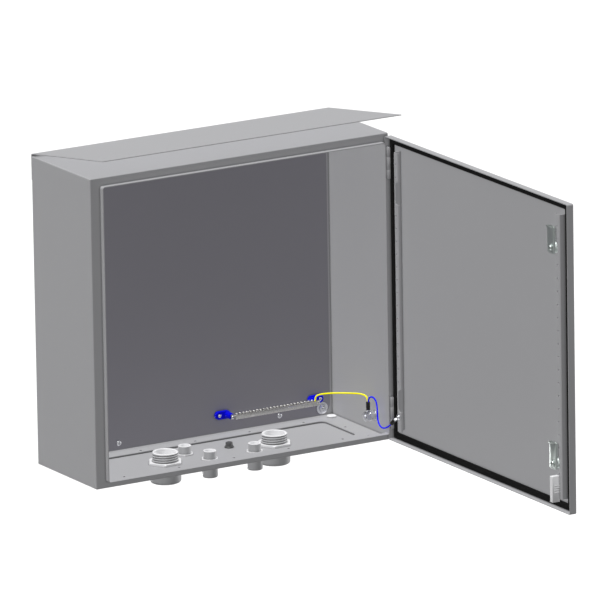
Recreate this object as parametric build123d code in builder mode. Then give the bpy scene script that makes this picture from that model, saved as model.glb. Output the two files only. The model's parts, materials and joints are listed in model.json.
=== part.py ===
from build123d import *
from math import atan2, cos, degrees, radians, sin, tan
import os

# Wall-hung traffic signal controller cabinet, folded from painted sheet steel, with its door open.
# X runs to the right seen from the front, Y runs back to the wall and Z runs up.
# The origin is the centre of the four wall-fixing holes, on the outer face of the back wall.
os.makedirs("parts", exist_ok=True)

# Cabinet shell
cabinet_width = 650.0
cabinet_height = 600.0
cabinet_depth = 220.0
sheet = 1.5
bend_radius = 2.5
flange_lock_side = 21.0
flange_hinge_side = 12.0
flange_top = 16.0
flange_bottom = 12.0
lip_depth = 11.0
lip_corner_radius = 3.0

# Wall fixing
wall_hole_spacing_x = 590.0
wall_hole_spacing_z = 450.0
wall_hole_radius = 4.5

# Rain roof
roof_sheet = 1.5
roof_overhang = 50.0
roof_front_rise = 44.0
roof_rear_rise = 4.0
roof_rear_drop = 50.0
roof_bend_radius = 3.0
roof_rivet_count = 5
roof_rivet_pitch = 130.0
roof_rivet_drop = 35.0
roof_rivet_radius = 2.4
roof_rivet_head_radius = 4.8
roof_rivet_head_height = 1.2
roof_rivet_head_taper = 30.0

# Floor, gland plate and its opening
floor_ring_margin_x = 25.0
floor_ring_front = 188.0
floor_ring_rear = 22.0
floor_ring_corner = 20.0
floor_emboss = 1.5
floor_opening_margin = 21.0
floor_opening_corner = 12.0
gland_plate_thickness = 2.0
gland_seal_thickness = 2.0
gland_plate_clearance = 3.0
gland_screw_radius = 2.5
gland_screw_head_radius = 4.6
gland_screw_head_height = 2.6
gland_screw_tip = 1.2
gland_screw_pitch = 120.0
gland_screw_count = 5

# Cable glands
large_gland_x = 120.0
large_gland_y = -125.0
large_stub_radius = 25.0
large_stub_bore = 21.0
large_stub_height = 22.5
large_thread_pitch = 4.5
large_thread_depth = 1.4
large_nut_across_flats = 60.0
large_nut_height = 4.5
large_body_flange_height = 6.0
large_dome_height = 29.0
small_gland_places = [(-58.0, -92.0), (-37.0, -150.0), (61.0, -151.0)]
small_stub_radius = 12.5
small_stub_bore = 10.0
small_stub_height = 17.5
small_nut_across_flats = 30.0
small_nut_height = 2.6
small_body_flange_height = 5.0
small_dome_height = 27.0
stub_clearance = 0.15
thread_clearance = 0.05
locknut_chamfer = 0.6

# Vent plug in the gland plate and blanking plug in the floor
vent_place = (37.0, -97.0)
vent_radius = 7.0
vent_height = 8.0
vent_flange_radius = 9.2
vent_flange_height = 2.6
vent_stem_radius = 5.0
vent_stem_length = 7.0
drain_from_side = 16.0
drain_from_back = 22.0
drain_stem_radius = 5.0
drain_head_radius = 9.0
drain_head_height = 3.0

# Mounting plate and the studs that carry it
plate_thickness = 2.0
plate_standoff = 7.5
plate_side_gap = 11.0
plate_end_gap = 4.0
plate_corner_radius = 22.0
stud_from_side = 29.5
stud_from_end = 17.5
stud_radius = 4.0
stud_collar_radius = 7.5
stud_length = 22.0
stud_hole_clearance = 0.5
washer_radius = 12.0
washer_thickness = 2.0
stud_nut_across_flats = 13.0
stud_nut_height = 6.5
plate_screw_places = [-155.0, 200.0]
plate_screw_from_edge = 12.0
plate_screw_radius = 3.0
plate_screw_head_radius = 5.0
plate_screw_head_height = 1.6

# Earth bar on its two insulators
bar_length = 196.0
bar_from_side = 52.0
bar_from_bottom = 39.5
bar_tab_length = 7.0
bar_tab_thickness = 3.0
bar_standoff = 25.0
bar_section = 8.0
bar_height = 9.0
terminal_count = 24
terminal_pitch = 7.6
terminal_hole_radius = 2.3
terminal_screw_radius = 2.6
terminal_screw_height = 3.0
insulator_screw_reach = 17.5
insulator_foot_radius = 8.0
insulator_foot_thickness = 7.0
insulator_post_radius = 7.0
insulator_neck_radius = 5.6
insulator_screw_radius = 2.2
insulator_screw_head_radius = 3.3
insulator_screw_head_height = 1.8

# Earth stud on the hinge-side wall
earth_stud_from_back = 158.0
earth_stud_from_bottom = 33.0
earth_stud_radius = 5.0
earth_stud_length = 24.5
earth_washer_radius = 10.0
earth_washer_thickness = 2.0
earth_nut_across_flats = 17.0
earth_nut_height = 8.0
lug_thickness = 1.5
lug_ring_radius = 8.5
lug_reach = 4.0
lug_tongue_width = 5.0
lug_barrel_radius = 2.6
lug_neck_length = 2.0
sleeve_radius = 4.0
sleeve_length = 16.0
sleeve_offset = 4.2
sleeve_bore_clearance = 0.1
sleeve_cap = 1.0
wire_radius = 1.5
wire_half_spacing = 1.7
wire_straight_run = 9.0
door_lug_ring_radius = 6.0
door_lug_screw_radius = 2.5
door_lug_screw_head_radius = 4.4
door_lug_screw_head_height = 2.4
door_lug_height = 53.0
door_lug_slope = 39.0

# Door
door_side_gap = 1.0
door_top_gap = 5.0
door_bottom_gap = 1.0
door_rim_gap = 1.5
door_rim_corner = 3.0
gasket_clearance = 0.3
gasket_thickness = 3.7
gasket_cover = 2.5
gasket_rim_clearance = 0.5
gasket_round = 2.2
rail_from_ends = 24.5
rail_depth = 15.0
rail_lip_depth = 5.0
rail_hole_pitch = 25.0
rail_hole_radius = 1.9
hinge_rail_start = 35.0
hinge_rail_width = 13.0
hinge_rail_notch_height = 45.0
hinge_rail_notch_depth = 8.0
hinge_rail_notch_upper = 103.0
hinge_rail_notch_lower = 85.0
lock_rail_start = 24.5
lock_rail_width = 16.5

# Hinges: the axis stands just inside the door's hinge edge
axis_from_hinge_edge = 4.0
axis_from_outer_face = 10.0
hinge_from_end = 52.5
knuckle_radius = 4.4
frame_knuckle_length = 18.0
door_knuckle_length = 24.0
knuckle_gap = 0.3
hinge_pin_radius = 2.0
hinge_pin_clearance = 0.05
hinge_pin_head_radius = 2.4
hinge_pin_head_height = 1.5
hinge_foot_thickness = 2.0
hinge_foot_reach = 6.0
hinge_neck_half_width = 2.0
rim_slot_clearance = 0.6

# Cam locks
lock_from_edge = 47.5
lock_from_end = 90.0
lock_barrel_radius = 11.0
lock_rosette_radius = 15.0
lock_rosette_height = 3.0
lock_nut_across_flats = 27.0
lock_nut_height = 5.0
lock_notch_radius = 16.0
driver_radius = 7.0
driver_clearance = 0.05
driver_recess_radius = 5.0
driver_recess_depth = 9.0
driver_key_half_width = 1.6
driver_square = 8.0
cam_clearance = 0.5
cam_thickness = 3.0
cam_width = 24.0
cam_reach = 42.0
cam_tail = 11.0
cam_fold = 5.0
cam_corner = 4.0
cam_hole_clearance = 0.05
cam_screw_radius = 2.5
cam_screw_length = 10.0
cam_screw_head_radius = 5.0
cam_screw_head_height = 2.6
cam_washer_radius = 7.0
cam_washer_thickness = 1.2

# Door guide block on the lock rail
guide_from_bottom = 19.0
guide_height = 50.0
guide_width = 9.5
guide_depth = 16.0
guide_rib_count = 4
guide_rib_pitch = 4.4
guide_rib_height = 0.8
guide_rib_length = 11.0

half_width = cabinet_width / 2
half_height = cabinet_height / 2
floor_top = -half_height + sheet


def front_plane(depth):
    """A plane across the cabinet, this far in front of the back wall's outer face."""
    return Plane.XZ.offset(depth)


def hexagon(across_flats):
    """A hexagon given by its spanner size."""
    RegularPolygon(radius=across_flats / 2, side_count=6, major_radius=False)


def arc_radii(route):
    """One radius for each inner corner, as large as the two runs beside it allow."""
    points = [Vector(*p) for p in route]
    radii = []
    for before, corner, after in zip(points, points[1:], points[2:]):
        turn = (corner - before).get_angle(after - corner)
        shorter = min((corner - before).length, (after - corner).length)
        radii.append(0.45 * shorter / tan(radians(turn / 2)))
    return radii


# The opening's outline lies where the front flange turns forward into the lip.
opening_left = -half_width + flange_lock_side
opening_right = half_width - flange_hinge_side
opening_bottom = -half_height + flange_bottom
opening_top = half_height - flange_top
opening_width = opening_right - opening_left
opening_height = opening_top - opening_bottom
opening_centre = ((opening_left + opening_right) / 2, (opening_bottom + opening_top) / 2)

ring_half_width = half_width - floor_ring_margin_x
ring_length = floor_ring_front - floor_ring_rear
ring_centre_y = -(floor_ring_front + floor_ring_rear) / 2
hole_half_width = ring_half_width - floor_opening_margin
hole_length = ring_length - 2 * floor_opening_margin
screw_inset = floor_opening_margin / 2
ring_size = (2 * ring_half_width, ring_length)
hole_size = (2 * hole_half_width, hole_length)


def gland_screw_places():
    """Screws along the front and the rear of the gland plate, and one at each end."""
    middle = (gland_screw_count - 1) / 2
    places = []
    for row_y in (screw_inset - floor_ring_front, -floor_ring_rear - screw_inset):
        for i in range(gland_screw_count):
            places.append(((i - middle) * gland_screw_pitch, row_y))
    for side in (-1, 1):
        places.append((side * (ring_half_width - screw_inset), ring_centre_y))
    return places


wall_holes = GridLocations(wall_hole_spacing_x, wall_hole_spacing_z, 2, 2)
roof_rivet_z = half_height + roof_rear_rise - roof_rivet_drop
drain_place = (half_width - drain_from_side, -drain_from_back)

# Cabinet shell: back, sides, top and floor with the front flange and its forward lip
with BuildPart() as cabinet_shell:
    with BuildSketch(front_plane(0)):
        Rectangle(cabinet_width, cabinet_height)
    extrude(amount=cabinet_depth)
    fillet(cabinet_shell.edges().filter_by(Axis.Y), radius=bend_radius)
    fillet(cabinet_shell.faces().sort_by(Axis.Y)[0].edges(), radius=bend_radius - sheet / 2)
    with BuildSketch(front_plane(sheet)):
        Rectangle(cabinet_width - 2 * sheet, cabinet_height - 2 * sheet)
    extrude(amount=cabinet_depth - 2 * sheet, mode=Mode.SUBTRACT)
    with BuildSketch(front_plane(cabinet_depth - sheet)):
        with Locations(opening_centre):
            RectangleRounded(opening_width - 2 * sheet, opening_height - 2 * sheet, lip_corner_radius)
    extrude(amount=sheet, mode=Mode.SUBTRACT)
    with BuildSketch(front_plane(cabinet_depth)):
        with Locations(opening_centre):
            RectangleRounded(opening_width, opening_height, lip_corner_radius + sheet)
            RectangleRounded(
                opening_width - 2 * sheet,
                opening_height - 2 * sheet,
                lip_corner_radius,
                mode=Mode.SUBTRACT,
            )
    extrude(amount=lip_depth)
    with BuildSketch(Plane.XY.offset(floor_top)):
        with Locations((0, ring_centre_y)):
            RectangleRounded(*ring_size, floor_ring_corner)
    extrude(amount=floor_emboss)
    with BuildSketch(Plane.XY.offset(-half_height)):
        with Locations((0, ring_centre_y)):
            RectangleRounded(ring_size[0] - sheet, ring_size[1] - sheet, floor_ring_corner - sheet / 2)
    extrude(amount=floor_emboss, mode=Mode.SUBTRACT)
    with BuildSketch(Plane.XY.offset(-half_height)):
        with Locations((0, ring_centre_y)):
            RectangleRounded(*hole_size, floor_opening_corner)
        with Locations(gland_screw_places()):
            Circle(gland_screw_radius + thread_clearance)
        with Locations(drain_place):
            Circle(drain_stem_radius + stub_clearance)
    extrude(amount=sheet + floor_emboss, mode=Mode.SUBTRACT)
    with BuildSketch(front_plane(0)):
        with wall_holes:
            Circle(wall_hole_radius)
        with Locations((0, roof_rivet_z)):
            with GridLocations(roof_rivet_pitch, 1, roof_rivet_count, 1):
                Circle(roof_rivet_radius)
    extrude(amount=sheet, mode=Mode.SUBTRACT)
cabinet_shell.part.label = "cabinet_shell"
export_step(cabinet_shell.part, "parts/cabinet_shell.step")

# Rain roof: one sheet bent over the back edge, with a rear flange and a plate that rises to the front
roof_rear_top = half_height + roof_rear_rise
with BuildPart() as rain_roof:
    with BuildSketch(Plane.YZ.offset(-half_width)) as roof_profile:
        with BuildLine():
            FilletPolyline(
                (roof_sheet / 2, roof_rear_top - roof_rear_drop),
                (roof_sheet / 2, roof_rear_top),
                (-cabinet_depth - roof_overhang, half_height + roof_front_rise),
                radius=roof_bend_radius,
            )
        trace(line_width=roof_sheet)
    extrude(amount=cabinet_width)
    with BuildSketch(front_plane(-roof_sheet)):
        with Locations((0, roof_rivet_z)):
            with GridLocations(roof_rivet_pitch, 1, roof_rivet_count, 1):
                Circle(roof_rivet_radius)
    extrude(amount=roof_sheet, mode=Mode.SUBTRACT)
rain_roof.part.label = "rain_roof"
export_step(rain_roof.part, "parts/rain_roof.step")

# Rivets that hold the roof's rear flange to the back wall
with BuildPart() as roof_rivets:
    with BuildSketch(front_plane(-roof_sheet)):
        with Locations((0, roof_rivet_z)):
            with GridLocations(roof_rivet_pitch, 1, roof_rivet_count, 1):
                Circle(roof_rivet_radius)
    extrude(amount=roof_sheet + sheet + roof_rivet_head_height)
    with BuildSketch(front_plane(-roof_sheet)):
        with Locations((0, roof_rivet_z)):
            with GridLocations(roof_rivet_pitch, 1, roof_rivet_count, 1):
                Circle(roof_rivet_head_radius)
    extrude(amount=-roof_rivet_head_height, taper=roof_rivet_head_taper)
roof_rivets.part.label = "roof_rivets"
export_step(roof_rivets.part, "parts/roof_rivets.step")

# Gland plate under the floor, its seal and its screws
seal_top = -half_height + floor_emboss
gland_plate_top = seal_top - gland_seal_thickness
gland_plate_bottom = gland_plate_top - gland_plate_thickness
gland_plate_size = (ring_size[0] - 2 * gland_plate_clearance, ring_size[1] - 2 * gland_plate_clearance)
gland_plate_corner = floor_ring_corner - gland_plate_clearance
large_gland_places = [(side * large_gland_x, large_gland_y) for side in (-1, 1)]

with BuildPart() as gland_plate:
    with BuildSketch(Plane.XY.offset(gland_plate_bottom)):
        with Locations((0, ring_centre_y)):
            RectangleRounded(*gland_plate_size, gland_plate_corner)
        with Locations(large_gland_places):
            Circle(large_stub_radius + stub_clearance, mode=Mode.SUBTRACT)
        with Locations(small_gland_places):
            Circle(small_stub_radius + stub_clearance, mode=Mode.SUBTRACT)
        with Locations(vent_place):
            Circle(vent_stem_radius + stub_clearance, mode=Mode.SUBTRACT)
        with Locations(gland_screw_places()):
            Circle(gland_screw_radius + stub_clearance, mode=Mode.SUBTRACT)
    extrude(amount=gland_plate_thickness)
gland_plate.part.label = "gland_plate"
export_step(gland_plate.part, "parts/gland_plate.step")

with BuildPart() as gland_plate_seal:
    with BuildSketch(Plane.XY.offset(gland_plate_top)):
        with Locations((0, ring_centre_y)):
            RectangleRounded(*gland_plate_size, gland_plate_corner)
            RectangleRounded(*hole_size, floor_opening_corner, mode=Mode.SUBTRACT)
        with Locations(gland_screw_places()):
            Circle(gland_screw_radius + stub_clearance, mode=Mode.SUBTRACT)
    extrude(amount=gland_seal_thickness)
gland_plate_seal.part.label = "gland_plate_seal"
export_step(gland_plate_seal.part, "parts/gland_plate_seal.step")

with BuildPart() as gland_plate_screws:
    with BuildSketch(Plane.XY.offset(gland_plate_bottom - gland_screw_head_height)):
        with Locations(gland_screw_places()):
            Circle(gland_screw_head_radius)
    extrude(amount=gland_screw_head_height)
    fillet(gland_plate_screws.edges().group_by(Axis.Z)[0], radius=gland_screw_head_height / 2)
    with BuildSketch(Plane.XY.offset(gland_plate_bottom)):
        with Locations(gland_screw_places()):
            Circle(gland_screw_radius)
    extrude(amount=floor_top + floor_emboss - gland_screw_tip - gland_plate_bottom)
gland_plate_screws.part.label = "gland_plate_screws"
export_step(gland_plate_screws.part, "parts/gland_plate_screws.step")

# Cable glands: body, locknut, sealing ring and dome nut, for the two sizes
gland_sizes = {
    "large": (
        large_gland_places,
        large_stub_radius,
        large_stub_bore,
        large_stub_height,
        large_nut_across_flats,
        large_nut_height,
        large_body_flange_height,
        large_dome_height,
    ),
    "small": (
        small_gland_places,
        small_stub_radius,
        small_stub_bore,
        small_stub_height,
        small_nut_across_flats,
        small_nut_height,
        small_body_flange_height,
        small_dome_height,
    ),
}
for size, gland in gland_sizes.items():
    places, stub, bore, stub_height, across_flats, nut_height, flange_height, dome_height = gland
    flange_bottom_z = gland_plate_bottom - flange_height
    socket_depth = dome_height / 2
    ring_depth = dome_height / 4
    dome_wall = (across_flats / 2 - stub) / 2

    with BuildPart() as gland_bodies:
        with BuildSketch(Plane.XY.offset(flange_bottom_z)):
            with Locations(places):
                hexagon(across_flats)
        extrude(amount=flange_height)
        with BuildSketch(Plane.XY.offset(flange_bottom_z - socket_depth)):
            with Locations(places):
                Circle(stub)
        extrude(amount=gland_plate_top + stub_height - flange_bottom_z + socket_depth)
        with BuildSketch(Plane.XY.offset(flange_bottom_z - socket_depth)):
            with Locations(places):
                Circle(bore)
        extrude(amount=gland_plate_top + stub_height - flange_bottom_z + socket_depth, mode=Mode.SUBTRACT)
        groove_z = gland_plate_top + nut_height + large_thread_depth / 2
        while size == "large" and groove_z < gland_plate_top + stub_height - large_thread_depth:
            with BuildSketch(Plane.XY.offset(groove_z)):
                with Locations(places):
                    Circle(stub + large_thread_depth)
                    Circle(stub - large_thread_depth, mode=Mode.SUBTRACT)
            extrude(amount=large_thread_depth, mode=Mode.SUBTRACT)
            groove_z += large_thread_pitch
    gland_bodies.part.label = f"{size}_gland_bodies"
    export_step(gland_bodies.part, f"parts/{size}_gland_bodies.step")

    with BuildPart() as gland_locknuts:
        with BuildSketch(Plane.XY.offset(gland_plate_top)):
            with Locations(places):
                hexagon(across_flats)
                Circle(stub + thread_clearance, mode=Mode.SUBTRACT)
        extrude(amount=nut_height)
        locknut_tops = gland_locknuts.faces().group_by(Axis.Z)[-1]
        chamfer(locknut_tops.edges().filter_by(GeomType.LINE), length=locknut_chamfer)
    gland_locknuts.part.label = f"{size}_gland_locknuts"
    export_step(gland_locknuts.part, f"parts/{size}_gland_locknuts.step")

    dome_bottom = flange_bottom_z - dome_height
    with BuildPart() as gland_dome_nuts:
        with BuildSketch(Plane.XY.offset(dome_bottom)):
            with Locations(places):
                Circle(across_flats / 2)
        extrude(amount=dome_height)
        fillet(gland_dome_nuts.edges().group_by(Axis.Z)[0], radius=dome_wall * 2)
        with BuildSketch(Plane.XY.offset(dome_bottom)):
            with Locations(places):
                Circle(bore - dome_wall)
        extrude(amount=dome_height, mode=Mode.SUBTRACT)
        with BuildSketch(Plane.XY.offset(dome_bottom + dome_height - socket_depth - ring_depth)):
            with Locations(places):
                Circle(stub + thread_clearance)
        extrude(amount=socket_depth + ring_depth, mode=Mode.SUBTRACT)
    gland_dome_nuts.part.label = f"{size}_gland_dome_nuts"
    export_step(gland_dome_nuts.part, f"parts/{size}_gland_dome_nuts.step")

    with BuildPart() as gland_seals:
        with BuildSketch(Plane.XY.offset(dome_bottom + dome_height - socket_depth - ring_depth)):
            with Locations(places):
                Circle(stub)
                Circle(bore - dome_wall, mode=Mode.SUBTRACT)
        extrude(amount=ring_depth)
    gland_seals.part.label = f"{size}_gland_seals"
    export_step(gland_seals.part, f"parts/{size}_gland_seals.step")

# Black vent plug pressed into the gland plate
with BuildPart() as vent_plug:
    with BuildSketch(Plane.XY.offset(gland_plate_top)):
        with Locations(vent_place):
            Circle(vent_flange_radius)
    extrude(amount=vent_flange_height)
    with BuildSketch(Plane.XY.offset(gland_plate_top + vent_flange_height)):
        with Locations(vent_place):
            Circle(vent_radius)
    extrude(amount=vent_height)
    fillet(vent_plug.edges().group_by(Axis.Z)[-1], radius=vent_radius / 5)
    with BuildSketch(Plane.XY.offset(gland_plate_top)):
        with Locations(vent_place):
            Circle(vent_stem_radius)
    extrude(amount=-vent_stem_length)
vent_plug.part.label = "vent_plug"
export_step(vent_plug.part, "parts/vent_plug.step")

# Light blanking plug in the floor's rear corner
with BuildPart() as floor_plug:
    with BuildSketch(Plane.XY.offset(floor_top)):
        with Locations(drain_place):
            Circle(drain_head_radius)
    extrude(amount=drain_head_height)
    fillet(floor_plug.edges().group_by(Axis.Z)[-1], radius=drain_head_height / 3)
    with BuildSketch(Plane.XY.offset(floor_top)):
        with Locations(drain_place):
            Circle(drain_stem_radius)
    extrude(amount=-sheet - drain_head_height / 2)
floor_plug.part.label = "floor_plug"
export_step(floor_plug.part, "parts/floor_plug.step")

# Mounting plate on four welded studs
plate_back = sheet + plate_standoff
plate_front = plate_back + plate_thickness
plate_width = cabinet_width - 2 * sheet - 2 * plate_side_gap
plate_height = cabinet_height - 2 * sheet - 2 * plate_end_gap
stud_places = GridLocations(
    cabinet_width - 2 * sheet - 2 * stud_from_side,
    cabinet_height - 2 * sheet - 2 * stud_from_end,
    2,
    2,
)
plate_screw_z = plate_height / 2 - plate_screw_from_edge
plate_screws = [(x, side * plate_screw_z) for x in plate_screw_places for side in (-1, 1)]

with BuildPart() as mounting_plate:
    with BuildSketch(front_plane(plate_back)):
        RectangleRounded(plate_width, plate_height, plate_corner_radius)
        with stud_places:
            Circle(stud_radius + stud_hole_clearance, mode=Mode.SUBTRACT)
        with Locations(plate_screws):
            Circle(plate_screw_radius + stub_clearance, mode=Mode.SUBTRACT)
    extrude(amount=plate_thickness)
mounting_plate.part.label = "mounting_plate"
export_step(mounting_plate.part, "parts/mounting_plate.step")

with BuildPart() as plate_studs:
    with BuildSketch(front_plane(sheet)):
        with stud_places:
            Circle(stud_collar_radius)
        with Locations(plate_screws):
            Circle(stud_collar_radius)
    extrude(amount=plate_standoff)
    with BuildSketch(front_plane(sheet)):
        with stud_places:
            Circle(stud_radius)
    extrude(amount=stud_length)
    with BuildSketch(front_plane(sheet)):
        with Locations(plate_screws):
            Circle(plate_screw_radius + thread_clearance)
    extrude(amount=plate_standoff, mode=Mode.SUBTRACT)
plate_studs.part.label = "plate_studs"
export_step(plate_studs.part, "parts/plate_studs.step")

with BuildPart() as plate_washers:
    with BuildSketch(front_plane(plate_front)):
        with stud_places:
            Circle(washer_radius)
            Circle(stud_radius + stud_hole_clearance, mode=Mode.SUBTRACT)
    extrude(amount=washer_thickness)
plate_washers.part.label = "plate_washers"
export_step(plate_washers.part, "parts/plate_washers.step")

with BuildPart() as plate_nuts:
    with BuildSketch(front_plane(plate_front + washer_thickness)):
        with stud_places:
            hexagon(stud_nut_across_flats)
            Circle(stud_radius + thread_clearance, mode=Mode.SUBTRACT)
    extrude(amount=stud_nut_height)
    chamfer(plate_nuts.faces().group_by(Axis.Y)[0].edges().filter_by(GeomType.LINE), length=locknut_chamfer)
plate_nuts.part.label = "plate_nuts"
export_step(plate_nuts.part, "parts/plate_nuts.step")

with BuildPart() as plate_edge_screws:
    with BuildSketch(front_plane(sheet)):
        with Locations(plate_screws):
            Circle(plate_screw_radius)
    extrude(amount=plate_front - sheet)
    with BuildSketch(front_plane(plate_front)):
        with Locations(plate_screws):
            Circle(plate_screw_head_radius)
    extrude(amount=plate_screw_head_height)
    fillet(plate_edge_screws.edges().group_by(Axis.Y)[0], radius=plate_screw_head_height / 2)
plate_edge_screws.part.label = "plate_edge_screws"
export_step(plate_edge_screws.part, "parts/plate_edge_screws.step")

# Insulators: a rounded foot that points away from the bar, and a post that carries the bar's tab
bar_back = plate_front + bar_standoff
bar_z = bar_from_bottom - half_height
bar_right = half_width - bar_from_side
bar_left = bar_right - bar_length
bar_middle_x = (bar_left + bar_right) / 2
post_places = [(bar_left + bar_tab_length / 2, bar_z), (bar_right - bar_tab_length / 2, bar_z)]
foot_screw_places = [
    (post_places[0][0] - insulator_screw_reach, bar_z),
    (post_places[1][0] + insulator_screw_reach, bar_z),
]
post_height = bar_standoff - insulator_foot_thickness
post_taper = degrees(atan2(insulator_post_radius - insulator_neck_radius, post_height))
with BuildPart() as insulators:
    with BuildSketch(front_plane(plate_front)):
        for post, screw in zip(post_places, foot_screw_places):
            with Locations(((post[0] + screw[0]) / 2, bar_z)):
                SlotCenterToCenter(insulator_screw_reach, 2 * insulator_foot_radius)
    extrude(amount=insulator_foot_thickness)
    fillet(insulators.faces().group_by(Axis.Y)[0].edges(), radius=insulator_foot_thickness / 4)
    with BuildSketch(front_plane(plate_front + insulator_foot_thickness)):
        with Locations(post_places):
            Circle(insulator_post_radius)
    extrude(amount=post_height, taper=post_taper)
    with BuildSketch(front_plane(plate_front)):
        with Locations(foot_screw_places):
            Circle(insulator_screw_radius + stub_clearance)
    extrude(amount=insulator_foot_thickness, mode=Mode.SUBTRACT)
    with BuildSketch(front_plane(bar_back)):
        with Locations(post_places):
            Circle(insulator_screw_radius + stub_clearance)
    extrude(amount=-bar_standoff / 2, mode=Mode.SUBTRACT)
insulators.part.label = "insulators"
export_step(insulators.part, "parts/insulators.step")

with BuildPart() as insulator_screws:
    with BuildSketch(front_plane(plate_front)):
        with Locations(foot_screw_places):
            Circle(insulator_screw_radius)
    extrude(amount=insulator_foot_thickness)
    with BuildSketch(front_plane(plate_front + insulator_foot_thickness)):
        with Locations(foot_screw_places):
            Circle(insulator_screw_head_radius)
    extrude(amount=insulator_screw_head_height)
    with BuildSketch(front_plane(bar_back + bar_tab_thickness)):
        with Locations(post_places):
            Circle(insulator_screw_radius)
    extrude(amount=-bar_tab_thickness - bar_standoff / 2)
    with BuildSketch(front_plane(bar_back + bar_tab_thickness)):
        with Locations(post_places):
            Circle(insulator_screw_head_radius)
    extrude(amount=insulator_screw_head_height)
insulator_screws.part.label = "insulator_screws"
export_step(insulator_screws.part, "parts/insulator_screws.step")

# Earth bar: a square bar with a row of wire holes, and a thin tab at each end
terminal_row = GridLocations(terminal_pitch, 1, terminal_count, 1)
with BuildPart() as earth_bar:
    with BuildSketch(front_plane(bar_back)):
        with Locations((bar_middle_x, bar_z)):
            Rectangle(bar_length, bar_height)
        with Locations(post_places):
            Circle(insulator_screw_radius + stub_clearance, mode=Mode.SUBTRACT)
    extrude(amount=bar_tab_thickness)
    with BuildSketch(front_plane(bar_back + bar_tab_thickness)):
        with Locations((bar_middle_x, bar_z)):
            Rectangle(bar_length - 2 * bar_tab_length, bar_height)
    extrude(amount=bar_section - bar_tab_thickness)
    with BuildSketch(front_plane(bar_back)):
        with Locations((bar_middle_x, bar_z - bar_height / 10)):
            with terminal_row:
                Circle(terminal_hole_radius)
    extrude(amount=bar_section, mode=Mode.SUBTRACT)
earth_bar.part.label = "earth_bar"
export_step(earth_bar.part, "parts/earth_bar.step")

# Terminal screws stand on the bar over their wire holes; the last place at the right takes the yellow wire
bar_top = bar_z + bar_height / 2
bar_centre_y = -(bar_back + bar_section / 2)
first_terminal = bar_middle_x - (terminal_count - 1) * terminal_pitch / 2
with BuildPart() as terminal_screws:
    with BuildSketch(Plane.XY.offset(bar_top)):
        for i in range(terminal_count - 1):
            with Locations((first_terminal + i * terminal_pitch, bar_centre_y)):
                Circle(terminal_screw_radius)
    extrude(amount=terminal_screw_height)
terminal_screws.part.label = "terminal_screws"
export_step(terminal_screws.part, "parts/terminal_screws.step")

# Earth stud on the hinge-side wall, with a washer and nut behind the lug and another pair before it
wall_x = half_width - sheet
earth_stud_y = -earth_stud_from_back
earth_stud_z = earth_stud_from_bottom - half_height
stack_step = earth_washer_thickness + earth_nut_height
lug_x = wall_x - stack_step
washer_starts = [wall_x, lug_x - lug_thickness]


def side_plane(x):
    """A plane against the hinge-side wall that looks into the cabinet, at this X."""
    return Plane(origin=(x, earth_stud_y, earth_stud_z), x_dir=(0, -1, 0), z_dir=(-1, 0, 0))


with BuildPart() as earth_stud:
    with BuildSketch(side_plane(wall_x)):
        Circle(earth_stud_radius)
    extrude(amount=earth_stud_length)
    chamfer(earth_stud.faces().sort_by(Axis.X)[0].edges(), length=locknut_chamfer)
earth_stud.part.label = "earth_stud"
export_step(earth_stud.part, "parts/earth_stud.step")

with BuildPart() as earth_washers:
    for start in washer_starts:
        with BuildSketch(side_plane(start)):
            Circle(earth_washer_radius)
            Circle(earth_stud_radius + thread_clearance, mode=Mode.SUBTRACT)
        extrude(amount=earth_washer_thickness)
earth_washers.part.label = "earth_washers"
export_step(earth_washers.part, "parts/earth_washers.step")

with BuildPart() as earth_nuts:
    for start in washer_starts:
        with BuildSketch(side_plane(start - earth_washer_thickness)):
            hexagon(earth_nut_across_flats)
            Circle(earth_stud_radius + thread_clearance, mode=Mode.SUBTRACT)
        extrude(amount=earth_nut_height)
    chamfer(earth_nuts.faces().sort_by(Axis.X)[0].edges().filter_by(GeomType.LINE), length=locknut_chamfer)
earth_nuts.part.label = "earth_nuts"
export_step(earth_nuts.part, "parts/earth_nuts.step")

# The door in its open place; closed, its outer face stands one rim gap and one rim before the flange
door_width = cabinet_width - 2 * door_side_gap
door_height = cabinet_height - door_top_gap - door_bottom_gap
door_depth = lip_depth + gasket_clearance + gasket_thickness + sheet - door_rim_gap
hinge_x = half_width - door_side_gap - axis_from_hinge_edge
hinge_y = -cabinet_depth - door_rim_gap - door_depth + axis_from_outer_face
door_bottom = -half_height + door_bottom_gap
closed_hinge_edge = half_width - door_side_gap
door_centre = (door_width / 2, door_height / 2)


def door_point(u, height, depth):
    """A place on the open door: from its hinge edge, up from its foot and in from its outer face."""
    return (hinge_x + axis_from_outer_face - depth, hinge_y + axis_from_hinge_edge - u, door_bottom + height)


def door_plane(depth):
    """A plane across the open door, this far in from its outer face."""
    return Plane(origin=door_point(0, 0, depth), x_dir=(0, -1, 0), z_dir=(-1, 0, 0))


def door_section(height):
    """A level plane through the open door that looks down, with x from its hinge edge and y inward."""
    return Plane(origin=door_point(0, height, 0), x_dir=(0, -1, 0), z_dir=(0, 0, -1))


# Hinges: two frame knuckles with a door knuckle between them, and slots in the rim for the frame knuckles
hinge_heights = [hinge_from_end, door_height - hinge_from_end]
knuckle_step = door_knuckle_length / 2 + knuckle_gap + frame_knuckle_length / 2
frame_knuckle_heights = [h + side * knuckle_step for h in hinge_heights for side in (-1, 1)]
slot_start = axis_from_outer_face - knuckle_radius - knuckle_gap
slot_height = frame_knuckle_length + 2 * rim_slot_clearance
hinge_length = door_knuckle_length + 2 * knuckle_gap + 2 * frame_knuckle_length

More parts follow.
